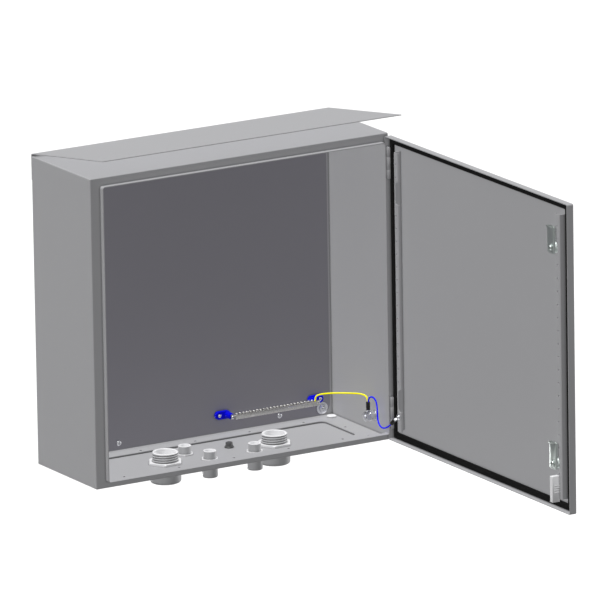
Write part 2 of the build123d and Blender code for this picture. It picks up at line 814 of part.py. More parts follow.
with BuildPart() as frame_hinge_knuckles:
    for height in frame_knuckle_heights:
        with BuildSketch(Plane.XY.offset(door_bottom + height - frame_knuckle_length / 2)):
            with Locations((hinge_x, hinge_y)):
                Circle(knuckle_radius)
            with Locations((hinge_x, -cabinet_depth)):
                Rectangle(
                    2 * hinge_neck_half_width,
                    -hinge_y - cabinet_depth,
                    align=(Align.CENTER, Align.MAX),
                )
            with Locations((hinge_x + hinge_neck_half_width, -cabinet_depth)):
                Rectangle(
                    hinge_foot_reach + hinge_neck_half_width,
                    hinge_foot_thickness,
                    align=(Align.MAX, Align.MAX),
                )
            with Locations((hinge_x, hinge_y)):
                Circle(hinge_pin_radius + hinge_pin_clearance, mode=Mode.SUBTRACT)
        extrude(amount=frame_knuckle_length)
frame_hinge_knuckles.part.label = "frame_hinge_knuckles"
export_step(frame_hinge_knuckles.part, "parts/frame_hinge_knuckles.step")

with BuildPart() as door_hinge_knuckles:
    for height in hinge_heights:
        with BuildSketch(door_section(height + door_knuckle_length / 2)):
            with Locations((axis_from_hinge_edge, axis_from_outer_face)):
                Circle(knuckle_radius)
            with Locations((axis_from_hinge_edge, axis_from_outer_face)):
                Rectangle(axis_from_hinge_edge - sheet, 2 * knuckle_radius, align=(Align.MAX, Align.CENTER))
            with Locations((sheet, axis_from_outer_face)):
                Rectangle(
                    knuckle_radius,
                    2 * knuckle_radius,
                    align=(Align.MAX, Align.CENTER),
                    mode=Mode.SUBTRACT,
                )
            with Locations((axis_from_hinge_edge, axis_from_outer_face)):
                Circle(hinge_pin_radius + hinge_pin_clearance, mode=Mode.SUBTRACT)
        extrude(amount=door_knuckle_length)
door_hinge_knuckles.part.label = "door_hinge_knuckles"
export_step(door_hinge_knuckles.part, "parts/door_hinge_knuckles.step")

with BuildPart() as hinge_pins:
    for height in hinge_heights:
        with BuildSketch(Plane.XY.offset(door_bottom + height - hinge_length / 2)):
            with Locations((hinge_x, hinge_y)):
                Circle(hinge_pin_radius)
        extrude(amount=hinge_length)
        with BuildSketch(Plane.XY.offset(door_bottom + height + hinge_length / 2)):
            with Locations((hinge_x, hinge_y)):
                Circle(hinge_pin_head_radius)
        extrude(amount=hinge_pin_head_height)
hinge_pins.part.label = "hinge_pins"
export_step(hinge_pins.part, "parts/hinge_pins.step")

# Door pan: the outer skin and its folded rim
lock_places = {
    "lower": (door_width - lock_from_edge, lock_from_end),
    "upper": (door_width - lock_from_edge, door_height - lock_from_end),
}
with BuildPart() as door_pan:
    with BuildSketch(door_plane(0)):
        with Locations(door_centre):
            Rectangle(door_width, door_height)
    extrude(amount=door_depth)
    fillet(door_pan.edges().filter_by(Axis.X), radius=door_rim_corner)
    fillet(door_pan.faces().sort_by(Axis.X)[-1].edges(), radius=door_rim_corner - sheet / 2)
    with BuildSketch(door_plane(sheet)):
        with Locations(door_centre):
            RectangleRounded(door_width - 2 * sheet, door_height - 2 * sheet, door_rim_corner - sheet)
    extrude(amount=door_depth - sheet, mode=Mode.SUBTRACT)
    with BuildSketch(door_plane(slot_start)):
        with Locations([(0, height) for height in frame_knuckle_heights]):
            Rectangle(2 * sheet, slot_height)
    extrude(amount=door_depth - slot_start, mode=Mode.SUBTRACT)
    with BuildSketch(door_plane(0)):
        with Locations(list(lock_places.values())):
            Circle(lock_barrel_radius + stub_clearance)
    extrude(amount=sheet, mode=Mode.SUBTRACT)
door_pan.part.label = "door_pan"
export_step(door_pan.part, "parts/door_pan.step")

# Gasket: it lies on the skin beside the rim and reaches just past the cabinet's lip when the door is shut
gasket_hinge_edge = closed_hinge_edge - (opening_right - sheet - gasket_cover)
gasket_lock_edge = closed_hinge_edge - (opening_left + sheet + gasket_cover)
gasket_foot = opening_bottom + sheet + gasket_cover - door_bottom
gasket_head = opening_top - sheet - gasket_cover - door_bottom
gasket_inset = 2 * (sheet + gasket_rim_clearance)
with BuildPart() as door_gasket:
    with BuildSketch(door_plane(sheet)):
        with Locations(door_centre):
            RectangleRounded(door_width - gasket_inset, door_height - gasket_inset, gasket_round)
        with Locations(((gasket_hinge_edge + gasket_lock_edge) / 2, (gasket_foot + gasket_head) / 2)):
            RectangleRounded(
                gasket_lock_edge - gasket_hinge_edge,
                gasket_head - gasket_foot,
                gasket_round,
                mode=Mode.SUBTRACT,
            )
    extrude(amount=gasket_thickness)
    fillet(door_gasket.faces().sort_by(Axis.X)[0].edges(), radius=gasket_round)
door_gasket.part.label = "door_gasket"
export_step(door_gasket.part, "parts/door_gasket.step")

# Rails: a web that stands on the skin, a face and a short lip
rail_face = sheet + rail_depth
rail_length = door_height - 2 * rail_from_ends
rail_hole_count = int(rail_length // rail_hole_pitch)
hinge_rail_middle = hinge_rail_start + hinge_rail_width / 2
lock_rail_web = door_width - lock_rail_start
lock_rail_lip = lock_rail_web - lock_rail_width
lock_rail_middle = (lock_rail_web + lock_rail_lip) / 2


def rail_line(web_side, lip_side):
    """The middle of a rail's bent sheet, from the skin up the web, over the face and down the lip."""
    inward = sheet / 2 if lip_side > web_side else -sheet / 2
    top = rail_face - sheet / 2
    return [
        (web_side + inward, sheet),
        (web_side + inward, top),
        (lip_side - inward, top),
        (lip_side - inward, rail_face - rail_lip_depth),
    ]


with BuildPart() as hinge_rail:
    with BuildSketch(door_section(door_height - rail_from_ends)):
        with BuildLine():
            FilletPolyline(
                *rail_line(hinge_rail_start, hinge_rail_start + hinge_rail_width),
                radius=bend_radius - sheet / 2,
            )
        trace(line_width=sheet)
    extrude(amount=rail_length)
    notch_edge = hinge_rail_start + hinge_rail_width
    with BuildSketch(door_plane(rail_face)):
        with Locations(
            (notch_edge, door_height - hinge_rail_notch_upper),
            (notch_edge, hinge_rail_notch_lower),
        ):
            SlotOverall(hinge_rail_notch_height, 2 * hinge_rail_notch_depth, rotation=90)
        with Locations((hinge_rail_middle, door_height / 2)):
            with GridLocations(1, rail_hole_pitch, 1, rail_hole_count):
                Circle(rail_hole_radius)
        with Locations((hinge_rail_middle, door_lug_height)):
            Circle(door_lug_screw_radius + thread_clearance)
    extrude(amount=-2 * rail_lip_depth, mode=Mode.SUBTRACT)
hinge_rail.part.label = "hinge_rail"
export_step(hinge_rail.part, "parts/hinge_rail.step")

with BuildPart() as lock_rail:
    with BuildSketch(door_section(door_height - rail_from_ends)):
        with BuildLine():
            FilletPolyline(*rail_line(lock_rail_web, lock_rail_lip), radius=bend_radius - sheet / 2)
        trace(line_width=sheet)
    extrude(amount=rail_length)
    with BuildSketch(door_plane(rail_face)):
        with Locations(list(lock_places.values())):
            Circle(lock_notch_radius)
        with Locations((lock_rail_middle, door_height / 2)):
            with GridLocations(1, rail_hole_pitch, 1, rail_hole_count):
                Circle(rail_hole_radius)
    extrude(amount=-2 * rail_lip_depth, mode=Mode.SUBTRACT)
lock_rail.part.label = "lock_rail"
export_step(lock_rail.part, "parts/lock_rail.step")

# Guide block on the lock rail, ribbed on the side that meets the frame
guide_lock_side = lock_rail_lip - cam_clearance + guide_width
guide_middle = guide_from_bottom + guide_height / 2
with BuildPart() as guide_block:
    with BuildSketch(door_plane(rail_face)):
        with Locations((guide_lock_side - guide_rib_height, guide_middle)):
            Rectangle(guide_width - guide_rib_height, guide_height, align=(Align.MAX, Align.CENTER))
    extrude(amount=guide_depth)
    fillet(guide_block.faces().sort_by(Axis.X)[0].edges(), radius=guide_rib_height)
    with BuildSketch(door_plane(rail_face)):
        with Locations((guide_lock_side, guide_middle)):
            with GridLocations(1, guide_rib_pitch, 1, guide_rib_count):
                Rectangle(2 * guide_rib_height, guide_rib_pitch / 2, align=(Align.MAX, Align.CENTER))
    extrude(amount=guide_rib_length)
guide_block.part.label = "guide_block"
export_step(guide_block.part, "parts/guide_block.step")

# Cam locks: the barrel with its outer rosette and inner nut; the cam passes close behind the flange
cam_face = door_rim_gap + door_depth + sheet + cam_clearance
barrel_end = cam_face - cam_clearance
with BuildPart() as lock_barrels:
    with BuildSketch(door_plane(-lock_rosette_height)):
        with Locations(list(lock_places.values())):
            Circle(lock_rosette_radius)
    extrude(amount=lock_rosette_height)
    fillet(lock_barrels.faces().group_by(Axis.X)[-1].edges(), radius=lock_rosette_height / 3)
    with BuildSketch(door_plane(0)):
        with Locations(list(lock_places.values())):
            Circle(lock_barrel_radius)
    extrude(amount=barrel_end)
    with BuildSketch(door_plane(-lock_rosette_height)):
        with Locations(list(lock_places.values())):
            Circle(driver_radius + driver_clearance)
    extrude(amount=lock_rosette_height + barrel_end, mode=Mode.SUBTRACT)
lock_barrels.part.label = "lock_barrels"
export_step(lock_barrels.part, "parts/lock_barrels.step")

with BuildPart() as lock_nuts:
    with BuildSketch(door_plane(sheet)):
        with Locations(list(lock_places.values())):
            hexagon(lock_nut_across_flats)
            Circle(lock_barrel_radius + thread_clearance, mode=Mode.SUBTRACT)
    extrude(amount=lock_nut_height)
    chamfer(lock_nuts.faces().group_by(Axis.X)[0].edges().filter_by(GeomType.LINE), length=locknut_chamfer)
lock_nuts.part.label = "lock_nuts"
export_step(lock_nuts.part, "parts/lock_nuts.step")

cam_back = cam_face + cam_thickness
for name, (lock_u, lock_v) in lock_places.items():
    with BuildPart() as lock_driver:
        with BuildSketch(door_plane(-lock_rosette_height)):
            with Locations((lock_u, lock_v)):
                Circle(driver_radius)
        extrude(amount=lock_rosette_height + cam_face)
        with BuildSketch(door_plane(-lock_rosette_height)):
            with Locations((lock_u, lock_v)):
                Circle(driver_recess_radius)
                Rectangle(2 * driver_key_half_width, 2 * driver_recess_radius, mode=Mode.SUBTRACT)
        extrude(amount=driver_recess_depth, mode=Mode.SUBTRACT)
        with BuildSketch(door_plane(cam_face)):
            with Locations((lock_u, lock_v)):
                Rectangle(driver_square, driver_square)
        extrude(amount=cam_thickness)
        with BuildSketch(door_plane(cam_back)):
            with Locations((lock_u, lock_v)):
                Circle(cam_screw_radius + thread_clearance)
        extrude(amount=-cam_screw_length, mode=Mode.SUBTRACT)
    lock_driver.part.label = f"{name}_lock_driver"
    export_step(lock_driver.part, f"parts/{name}_lock_driver.step")

    with BuildPart() as cam:
        with BuildSketch(door_plane(cam_face)):
            with Locations((lock_u, lock_v + (cam_reach - cam_tail) / 2)):
                RectangleRounded(cam_width, cam_reach + cam_tail, cam_corner)
            with Locations((lock_u, lock_v)):
                Rectangle(
                    driver_square + 2 * cam_hole_clearance,
                    driver_square + 2 * cam_hole_clearance,
                    mode=Mode.SUBTRACT,
                )
        extrude(amount=cam_thickness)
        with BuildSketch(door_plane(cam_back)):
            with Locations((lock_u, lock_v + cam_reach)):
                Rectangle(cam_width - 2 * cam_corner, cam_thickness, align=(Align.CENTER, Align.MAX))
        extrude(amount=cam_fold)
    cam.part.label = f"{name}_cam"
    export_step(cam.part, f"parts/{name}_cam.step")

    with BuildPart() as cam_washer:
        with BuildSketch(door_plane(cam_back)):
            with Locations((lock_u, lock_v)):
                Circle(cam_washer_radius)
                Circle(cam_screw_radius + thread_clearance, mode=Mode.SUBTRACT)
        extrude(amount=cam_washer_thickness)
    cam_washer.part.label = f"{name}_cam_washer"
    export_step(cam_washer.part, f"parts/{name}_cam_washer.step")

    with BuildPart() as cam_screw:
        with BuildSketch(door_plane(cam_back + cam_washer_thickness)):
            with Locations((lock_u, lock_v)):
                Circle(cam_screw_head_radius)
        extrude(amount=cam_screw_head_height)
        fillet(cam_screw.faces().sort_by(Axis.X)[0].edges(), radius=cam_screw_head_height / 2)
        with BuildSketch(door_plane(cam_back + cam_washer_thickness)):
            with Locations((lock_u, lock_v)):
                Circle(cam_screw_radius)
        extrude(amount=-cam_screw_length - cam_washer_thickness)
    cam_screw.part.label = f"{name}_cam_screw"
    export_step(cam_screw.part, f"parts/{name}_cam_screw.step")

# Ring lugs with their black sleeves, on the wall stud and on the door's hinge rail
lug_slope = radians(door_lug_slope)
lugs = {
    "wall": (
        Plane(origin=(lug_x, earth_stud_y, earth_stud_z), x_dir=(0, 0, 1), z_dir=(-1, 0, 0)),
        lug_ring_radius,
        earth_stud_radius,
    ),
    "door": (
        Plane(
            origin=door_point(hinge_rail_middle, door_lug_height, rail_face),
            x_dir=(0, cos(lug_slope), -sin(lug_slope)),
            z_dir=(-1, 0, 0),
        ),
        door_lug_ring_radius,
        door_lug_screw_radius,
    ),
}
for name, (lug_plane, ring_radius, hole_radius) in lugs.items():
    sleeve_start = ring_radius + lug_reach
    sleeve_plane = Plane(
        origin=lug_plane.origin + lug_plane.x_dir * sleeve_start + lug_plane.z_dir * sleeve_offset,
        z_dir=lug_plane.x_dir,
    )
    with BuildPart() as ring_lug:
        with BuildSketch(lug_plane):
            Circle(ring_radius)
            Rectangle(sleeve_start, lug_tongue_width, align=(Align.MIN, Align.CENTER))
            Circle(hole_radius + thread_clearance, mode=Mode.SUBTRACT)
        extrude(amount=lug_thickness)
        with BuildSketch(lug_plane):
            with Locations((sleeve_start, 0)):
                Rectangle(lug_neck_length, lug_tongue_width, align=(Align.MAX, Align.CENTER))
        extrude(amount=sleeve_offset)
        with BuildSketch(sleeve_plane.offset(-lug_neck_length)):
            Circle(lug_barrel_radius)
        extrude(amount=lug_neck_length + sleeve_length - sleeve_cap)
    ring_lug.part.label = f"{name}_lug"
    export_step(ring_lug.part, f"parts/{name}_lug.step")

    with BuildPart() as lug_sleeve:
        with BuildSketch(sleeve_plane):
            Circle(sleeve_radius)
        extrude(amount=sleeve_length)
        with BuildSketch(sleeve_plane):
            Circle(lug_barrel_radius + sleeve_bore_clearance)
        extrude(amount=sleeve_length - sleeve_cap, mode=Mode.SUBTRACT)
    lug_sleeve.part.label = f"{name}_lug_sleeve"
    export_step(lug_sleeve.part, f"parts/{name}_lug_sleeve.step")

with BuildPart() as door_lug_screw:
    with BuildSketch(door_plane(rail_face + lug_thickness)):
        with Locations((hinge_rail_middle, door_lug_height)):
            Circle(door_lug_screw_head_radius)
    extrude(amount=door_lug_screw_head_height)
    fillet(door_lug_screw.faces().sort_by(Axis.X)[0].edges(), radius=door_lug_screw_head_height / 2)
    with BuildSketch(door_plane(rail_face + lug_thickness)):
        with Locations((hinge_rail_middle, door_lug_height)):
            Circle(door_lug_screw_radius)
    extrude(amount=-lug_thickness - sheet)
door_lug_screw.part.label = "door_lug_screw"
export_step(door_lug_screw.part, "parts/door_lug_screw.step")

# Earth wires: yellow from the bar to the wall lug, blue from that lug through the opening to the door lug
wire_exit_x = lug_x - sleeve_offset
wire_exit_z = earth_stud_z + lug_ring_radius + lug_reach + sleeve_length
last_terminal = first_terminal + (terminal_count - 1) * terminal_pitch
door_exit = door_lug_ring_radius + lug_reach + sleeve_length


def door_wire_point(distance):
    """A place on the door sleeve's axis, this far from the middle of its ring."""
    x, y, z = door_point(hinge_rail_middle, door_lug_height, rail_face + sleeve_offset)
    return (x, y + distance * cos(lug_slope), z - distance * sin(lug_slope))


routes = {
    "yellow_wire": [
        (last_terminal, bar_centre_y, bar_top),
        (last_terminal, bar_centre_y, -250.0),
        (264.0, -43.5, -244.5),
        (270.0, -53.0, -240.5),
        (279.0, -70.0, -236.5),
        (287.0, -90.0, -233.0),
        (294.5, -112.0, -229.5),
        (301.0, -133.0, -226.5),
        (306.0, -147.5, -226.0),
        (wire_exit_x, earth_stud_y + wire_half_spacing, -230.5),
        (wire_exit_x, earth_stud_y + wire_half_spacing, wire_exit_z),
    ],
    "blue_wire": [
        (wire_exit_x, earth_stud_y - wire_half_spacing, wire_exit_z),
        (wire_exit_x, earth_stud_y - wire_half_spacing, -233.0),
        (310.0, -163.5, -228.5),
        (311.0, -169.0, -226.5),
        (312.2, -175.0, -227.5),
        (313.0, -180.5, -232.0),
        (313.2, -184.2, -240.0),
        (312.5, -186.8, -250.5),
        (311.0, -189.5, -261.5),
        (309.0, -195.0, -270.5),
        (307.0, -205.0, -276.0),
        (306.3, -217.0, -277.5),
        (307.0, -228.5, -273.5),
        door_wire_point(door_exit + wire_straight_run),
        door_wire_point(door_exit),
    ],
}
for name, route in routes.items():
    bend_radii = arc_radii(route)
    with BuildPart() as earth_wire:
        with BuildLine() as wire_path:
            FilletPolyline(*route, radius=bend_radii)
        with BuildSketch(Plane(origin=wire_path.line @ 0, z_dir=wire_path.line % 0)) as wire_section:
            Circle(wire_radius)
        sweep()
    length = wire_path.wire().length
    filled = earth_wire.part.volume / (wire_section.sketch.area * length)
    print(name, "length", round(length, 1), "volume over section times length", round(filled, 4))
    print(name, "bend radii", [round(radius, 1) for radius in bend_radii])
    earth_wire.part.label = name
    export_step(earth_wire.part, f"parts/{name}.step")
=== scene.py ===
import json
from math import cos, pi, radians, sin, tan

import bmesh
import bpy
from mathutils import Matrix, Vector


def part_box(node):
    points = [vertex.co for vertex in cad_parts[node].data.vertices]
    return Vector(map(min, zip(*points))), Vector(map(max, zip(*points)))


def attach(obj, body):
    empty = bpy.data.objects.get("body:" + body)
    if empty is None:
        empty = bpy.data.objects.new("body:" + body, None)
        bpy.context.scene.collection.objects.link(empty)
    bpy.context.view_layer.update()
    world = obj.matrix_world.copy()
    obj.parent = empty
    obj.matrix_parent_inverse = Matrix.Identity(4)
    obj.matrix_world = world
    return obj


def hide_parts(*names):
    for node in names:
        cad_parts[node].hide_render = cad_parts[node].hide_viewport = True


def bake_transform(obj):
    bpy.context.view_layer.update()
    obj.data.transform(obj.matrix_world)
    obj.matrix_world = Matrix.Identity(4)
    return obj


# A wall-hung controller cabinet of grey powder-coated sheet steel, with its door open.
# Sizes are in millimetres unless a comment says otherwise, and Blender's unit is the metre.
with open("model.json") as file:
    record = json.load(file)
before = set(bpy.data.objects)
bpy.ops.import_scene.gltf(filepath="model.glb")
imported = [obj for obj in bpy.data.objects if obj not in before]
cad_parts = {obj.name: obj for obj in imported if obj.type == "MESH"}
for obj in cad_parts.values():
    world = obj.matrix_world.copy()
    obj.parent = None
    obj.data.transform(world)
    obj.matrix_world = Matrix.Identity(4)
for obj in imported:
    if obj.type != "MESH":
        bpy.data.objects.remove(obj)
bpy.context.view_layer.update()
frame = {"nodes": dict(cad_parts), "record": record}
MM = 0.001

# Which way a turned piece's top points
DOWN = Matrix.Rotation(pi, 4, "X")
FRONT = Matrix.Rotation(pi / 2, 4, "X")
BACK = Matrix.Rotation(-pi / 2, 4, "X")
LEFT = Matrix.Rotation(-pi / 2, 4, "Y")
SMOOTH_UP_TO = radians(35)


def placed(name, data):
    """A new object in the scene."""
    thing = bpy.data.objects.new(name, data)
    bpy.context.scene.collection.objects.link(thing)
    return thing


def plain_mesh(holder):
    """What an object looks like with its modifiers, as a mesh. The object itself goes."""
    ready = holder.evaluated_get(bpy.context.evaluated_depsgraph_get())
    mesh = bpy.data.meshes.new_from_object(ready)
    bpy.data.objects.remove(holder)
    return mesh


# Camera: almost parallel rays, from the left front and a little above
CAMERA_TURN = radians(30.65)
CAMERA_TILT = radians(14.54)
CAMERA_ROLL = radians(0.93)
CAMERA_DISTANCE = 22.0
PHOTO_SIZE = 600
PIXELS_PER_METRE = 532.8
SENSOR = 36.0
AIM_POINT = Vector((0, -0.3, 0))
AIM_PIXEL = (264.5, 319.4)


def set_camera():
    """The camera, aimed so that one known point falls on its pixel in the photograph."""
    ahead = Vector(
        (
            sin(CAMERA_TURN) * cos(CAMERA_TILT),
            cos(CAMERA_TURN) * cos(CAMERA_TILT),
            -sin(CAMERA_TILT),
        )
    )
    level = ahead.cross(Vector((0, 0, 1))).normalized()
    plumb = ahead.cross(level)
    right = level * cos(CAMERA_ROLL) + plumb * sin(CAMERA_ROLL)
    down = plumb * cos(CAMERA_ROLL) - level * sin(CAMERA_ROLL)
    middle = PHOTO_SIZE / 2
    aim = AIM_POINT.copy()
    aim += right * (middle - AIM_PIXEL[0]) / PIXELS_PER_METRE
    aim += down * (middle - AIM_PIXEL[1]) / PIXELS_PER_METRE
    lens = bpy.data.cameras.new("camera")
    lens.sensor_width = SENSOR
    lens.lens = SENSOR * PIXELS_PER_METRE * CAMERA_DISTANCE / PHOTO_SIZE
    lens.clip_end = 3 * CAMERA_DISTANCE
    camera = placed("camera", lens)
    camera.matrix_world = Matrix.Translation(aim - ahead * CAMERA_DISTANCE) @ Matrix(
        (
            (right.x, -down.x, -ahead.x, 0),
            (right.y, -down.y, -ahead.y, 0),
            (right.z, -down.z, -ahead.z, 0),
            (0, 0, 0, 1),
        )
    )
    bpy.context.scene.camera = camera


# Shader tools
def add_node(tree, kind, settings=None, **inputs):
    """A node with its settings and its input values, given by their names with _ for a space."""
    node = tree.nodes.new(kind)
    for name, value in (settings or {}).items():
        setattr(node, name, value)
    for name, value in inputs.items():
        node.inputs[name.replace("_", " ")].default_value = value
    return node


def add_math(tree, operation, number=None, value=0.0):
    """A math node, with one of its inputs fixed, given by its number."""
    node = add_node(tree, "ShaderNodeMath", {"operation": operation})
    if number is not None:
        node.inputs[number].default_value = value
    return node


def new_group(name, inputs, outputs):
    """An empty shader node group with its named sockets, and its two end nodes."""
    group = bpy.data.node_groups.new(name, "ShaderNodeTree")
    for label, kind, value in inputs:
        socket = group.interface.new_socket(label, in_out="INPUT", socket_type=kind)
        socket.default_value = value
    for label, kind in outputs:
        group.interface.new_socket(label, in_out="OUTPUT", socket_type=kind)
    return group, group.nodes.new("NodeGroupInput"), group.nodes.new("NodeGroupOutput")


FINISH_OUTPUTS = [
    ("Colour", "NodeSocketColor"),
    ("Roughness", "NodeSocketFloat"),
    ("Normal", "NodeSocketVector"),
]
FINISH_INPUTS = [
    ("Colour", "NodeSocketColor", (0.3, 0.3, 0.3, 1)),
    ("Roughness", "NodeSocketFloat", 0.5),
    ("Grain", "NodeSocketFloat", 800.0),
    ("Depth", "NodeSocketFloat", 0.00003),
    ("Unevenness", "NodeSocketFloat", 0.02),
]
CLOUD_SCALE = 9.0
SPECK_SHARE = 3.5
ROUGHNESS_SHARE = 4.0
PLATING_CLOUD_SCALE = 160.0
PLATING_GRAIN = 2600.0
PLATING_ROUGHNESS_REACH = 0.18


def shade_by(tree, source, amount, colour, result):
    """Makes a colour lighter and darker by up to this amount, as the source value goes from 0 to 1."""
    low = add_math(tree, "SUBTRACT", 0, 1.0)
    high = add_math(tree, "ADD", 0, 1.0)
    reach = add_node(tree, "ShaderNodeMapRange")
    shade = add_node(tree, "ShaderNodeHueSaturation")
    tree.links.new(amount, low.inputs[1])
    tree.links.new(amount, high.inputs[1])
    tree.links.new(source, reach.inputs["Value"])
    tree.links.new(low.outputs[0], reach.inputs["To Min"])
    tree.links.new(high.outputs[0], reach.inputs["To Max"])
    tree.links.new(reach.outputs[0], shade.inputs["Value"])
    tree.links.new(colour, shade.inputs["Color"])
    if result is not None:
        tree.links.new(shade.outputs[0], result)
    return shade.outputs[0]


def make_grain_group():
    """The skin of powder coat, moulded plastic and rubber: soft pits, faint clouds and fine specks."""
    group, start, end = new_group("grained_skin", FINISH_INPUTS, FINISH_OUTPUTS)
    place = add_node(group, "ShaderNodeTexCoord")
    pits = add_node(group, "ShaderNodeTexNoise", Detail=2.0, Roughness=0.45)
    specks = add_node(group, "ShaderNodeTexNoise", Detail=1.0)
    finer = add_math(group, "MULTIPLY", 1, SPECK_SHARE)
    clouds = add_node(group, "ShaderNodeTexNoise", Scale=CLOUD_SCALE, Detail=3.0)
    bump = add_node(group, "ShaderNodeBump", Strength=1.0)
    for noise in (pits, specks, clouds):
        group.links.new(place.outputs["Object"], noise.inputs["Vector"])
    group.links.new(start.outputs["Grain"], pits.inputs["Scale"])
    group.links.new(start.outputs["Grain"], finer.inputs[0])
    group.links.new(finer.outputs[0], specks.inputs["Scale"])
    group.links.new(pits.outputs["Fac"], bump.inputs["Height"])
    group.links.new(start.outputs["Depth"], bump.inputs["Distance"])
    group.links.new(bump.outputs[0], end.inputs["Normal"])
    amount = start.outputs["Unevenness"]
    clouded = shade_by(group, clouds.outputs["Fac"], amount, start.outputs["Colour"], None)
    shade_by(group, specks.outputs["Fac"], amount, clouded, end.inputs["Colour"])
    rough = add_math(group, "MULTIPLY_ADD")
    spread = add_math(group, "SUBTRACT", 1, 0.5)
    wide = add_math(group, "MULTIPLY", 1, ROUGHNESS_SHARE)
    group.links.new(amount, wide.inputs[0])
    group.links.new(clouds.outputs["Fac"], spread.inputs[0])
    group.links.new(spread.outputs[0], rough.inputs[0])
    group.links.new(wide.outputs[0], rough.inputs[1])
    group.links.new(start.outputs["Roughness"], rough.inputs[2])
    group.links.new(rough.outputs[0], end.inputs["Roughness"])
    return group


def make_plating_group():
    """The skin of plated metal: two tints in clouds, and fine drawn lines along one axis."""
    inputs = FINISH_INPUTS + [
        ("Second Colour", "NodeSocketColor", (0.5, 0.5, 0.5, 1)),
        ("Line Direction", "NodeSocketVector", (1.0, 1.0, 0.06)),
    ]
    group, start, end = new_group("plated_skin", inputs, FINISH_OUTPUTS)
    place = add_node(group, "ShaderNodeTexCoord")
    stretch = add_node(group, "ShaderNodeVectorMath", {"operation": "MULTIPLY"})
    lines = add_node(group, "ShaderNodeTexNoise", Detail=3.0, Roughness=0.7)
    clouds = add_node(
        group, "ShaderNodeTexNoise", Scale=PLATING_CLOUD_SCALE, Detail=4.0, Distortion=0.6
    )
    tint = add_node(group, "ShaderNodeMix", {"data_type": "RGBA"})
    bump = add_node(group, "ShaderNodeBump", Strength=1.0)
    group.links.new(place.outputs["Object"], stretch.inputs[0])
    group.links.new(start.outputs["Line Direction"], stretch.inputs[1])
    group.links.new(stretch.outputs[0], lines.inputs["Vector"])
    group.links.new(start.outputs["Grain"], lines.inputs["Scale"])
    group.links.new(place.outputs["Object"], clouds.inputs["Vector"])
    group.links.new(clouds.outputs["Fac"], tint.inputs["Factor"])
    group.links.new(start.outputs["Colour"], tint.inputs[6])
    group.links.new(start.outputs["Second Colour"], tint.inputs[7])
    amount = start.outputs["Unevenness"]
    shade_by(group, lines.outputs["Fac"], amount, tint.outputs[2], end.inputs["Colour"])
    rough = add_math(group, "MULTIPLY_ADD", 1, PLATING_ROUGHNESS_REACH)
    group.links.new(lines.outputs["Fac"], rough.inputs[0])
    group.links.new(start.outputs["Roughness"], rough.inputs[2])
    group.links.new(rough.outputs[0], end.inputs["Roughness"])
    group.links.new(lines.outputs["Fac"], bump.inputs["Height"])
    group.links.new(start.outputs["Depth"], bump.inputs["Distance"])
    group.links.new(bump.outputs[0], end.inputs["Normal"])
    return group


grained_skin = make_grain_group()
plated_skin = make_plating_group()

# How much painted shade darkens a crease, and between which shares of open space it does
PAINTED_CREASE_SHADE = 0.75
CREASE_RANGE = (0.1, 0.9)


def finish_material(name, group, values, metallic=0.0, specular=0.5, crease_shade_reach=0.0):
    """A material whose colour, roughness and normal come from a skin group with these values.
    Its colour is darkened with painted shade where a crease is narrower than the given distance in metres."""
    material = bpy.data.materials.new(name)
    material.use_nodes = True
    tree = material.node_tree
    shader = tree.nodes["Principled BSDF"]
    shader.inputs["Metallic"].default_value = metallic
    shader.inputs["Specular IOR Level"].default_value = specular
    skin = add_node(tree, "ShaderNodeGroup", {"node_tree": group})
    for label, value in values.items():
        skin.inputs[label].default_value = value
    if crease_shade_reach:
        hollow = add_node(tree, "ShaderNodeAmbientOcclusion", {"samples": 8}, Distance=crease_shade_reach)
        depth = add_node(
            tree,
            "ShaderNodeMapRange",
            From_Min=CREASE_RANGE[0],
            From_Max=CREASE_RANGE[1],
            To_Min=1 - PAINTED_CREASE_SHADE,
            To_Max=1.0,
        )
        shade = add_node(tree, "ShaderNodeHueSaturation")
        tree.links.new(hollow.outputs["AO"], depth.inputs["Value"])
        tree.links.new(depth.outputs[0], shade.inputs["Value"])
        tree.links.new(skin.outputs["Colour"], shade.inputs["Color"])
        tree.links.new(shade.outputs[0], shader.inputs["Base Color"])
    else:
        tree.links.new(skin.outputs["Colour"], shader.inputs["Base Color"])
    tree.links.new(skin.outputs["Roughness"], shader.inputs["Roughness"])
    tree.links.new(skin.outputs["Normal"], shader.inputs["Normal"])
    return material


def grained(name, colour, roughness, grain, depth, unevenness, **shine):
    """A painted, moulded or rubber surface. Grain is in features per metre and depth in metres."""
    values = {
        "Colour": (*colour, 1),
        "Roughness": roughness,
        "Grain": grain,
        "Depth": depth,
        "Unevenness": unevenness,
    }
    return finish_material(name, grained_skin, values, **shine)


def plated(name, colour, second, roughness, depth, unevenness, **shine):
    """A plated metal surface, between two tints."""
    values = {
        "Colour": (*colour, 1),
        "Second Colour": (*second, 1),
        "Roughness": roughness,
        "Grain": PLATING_GRAIN,
        "Depth": depth,
        "Unevenness": unevenness,
    }
    return finish_material(name, plated_skin, values, metallic=1.0, **shine)


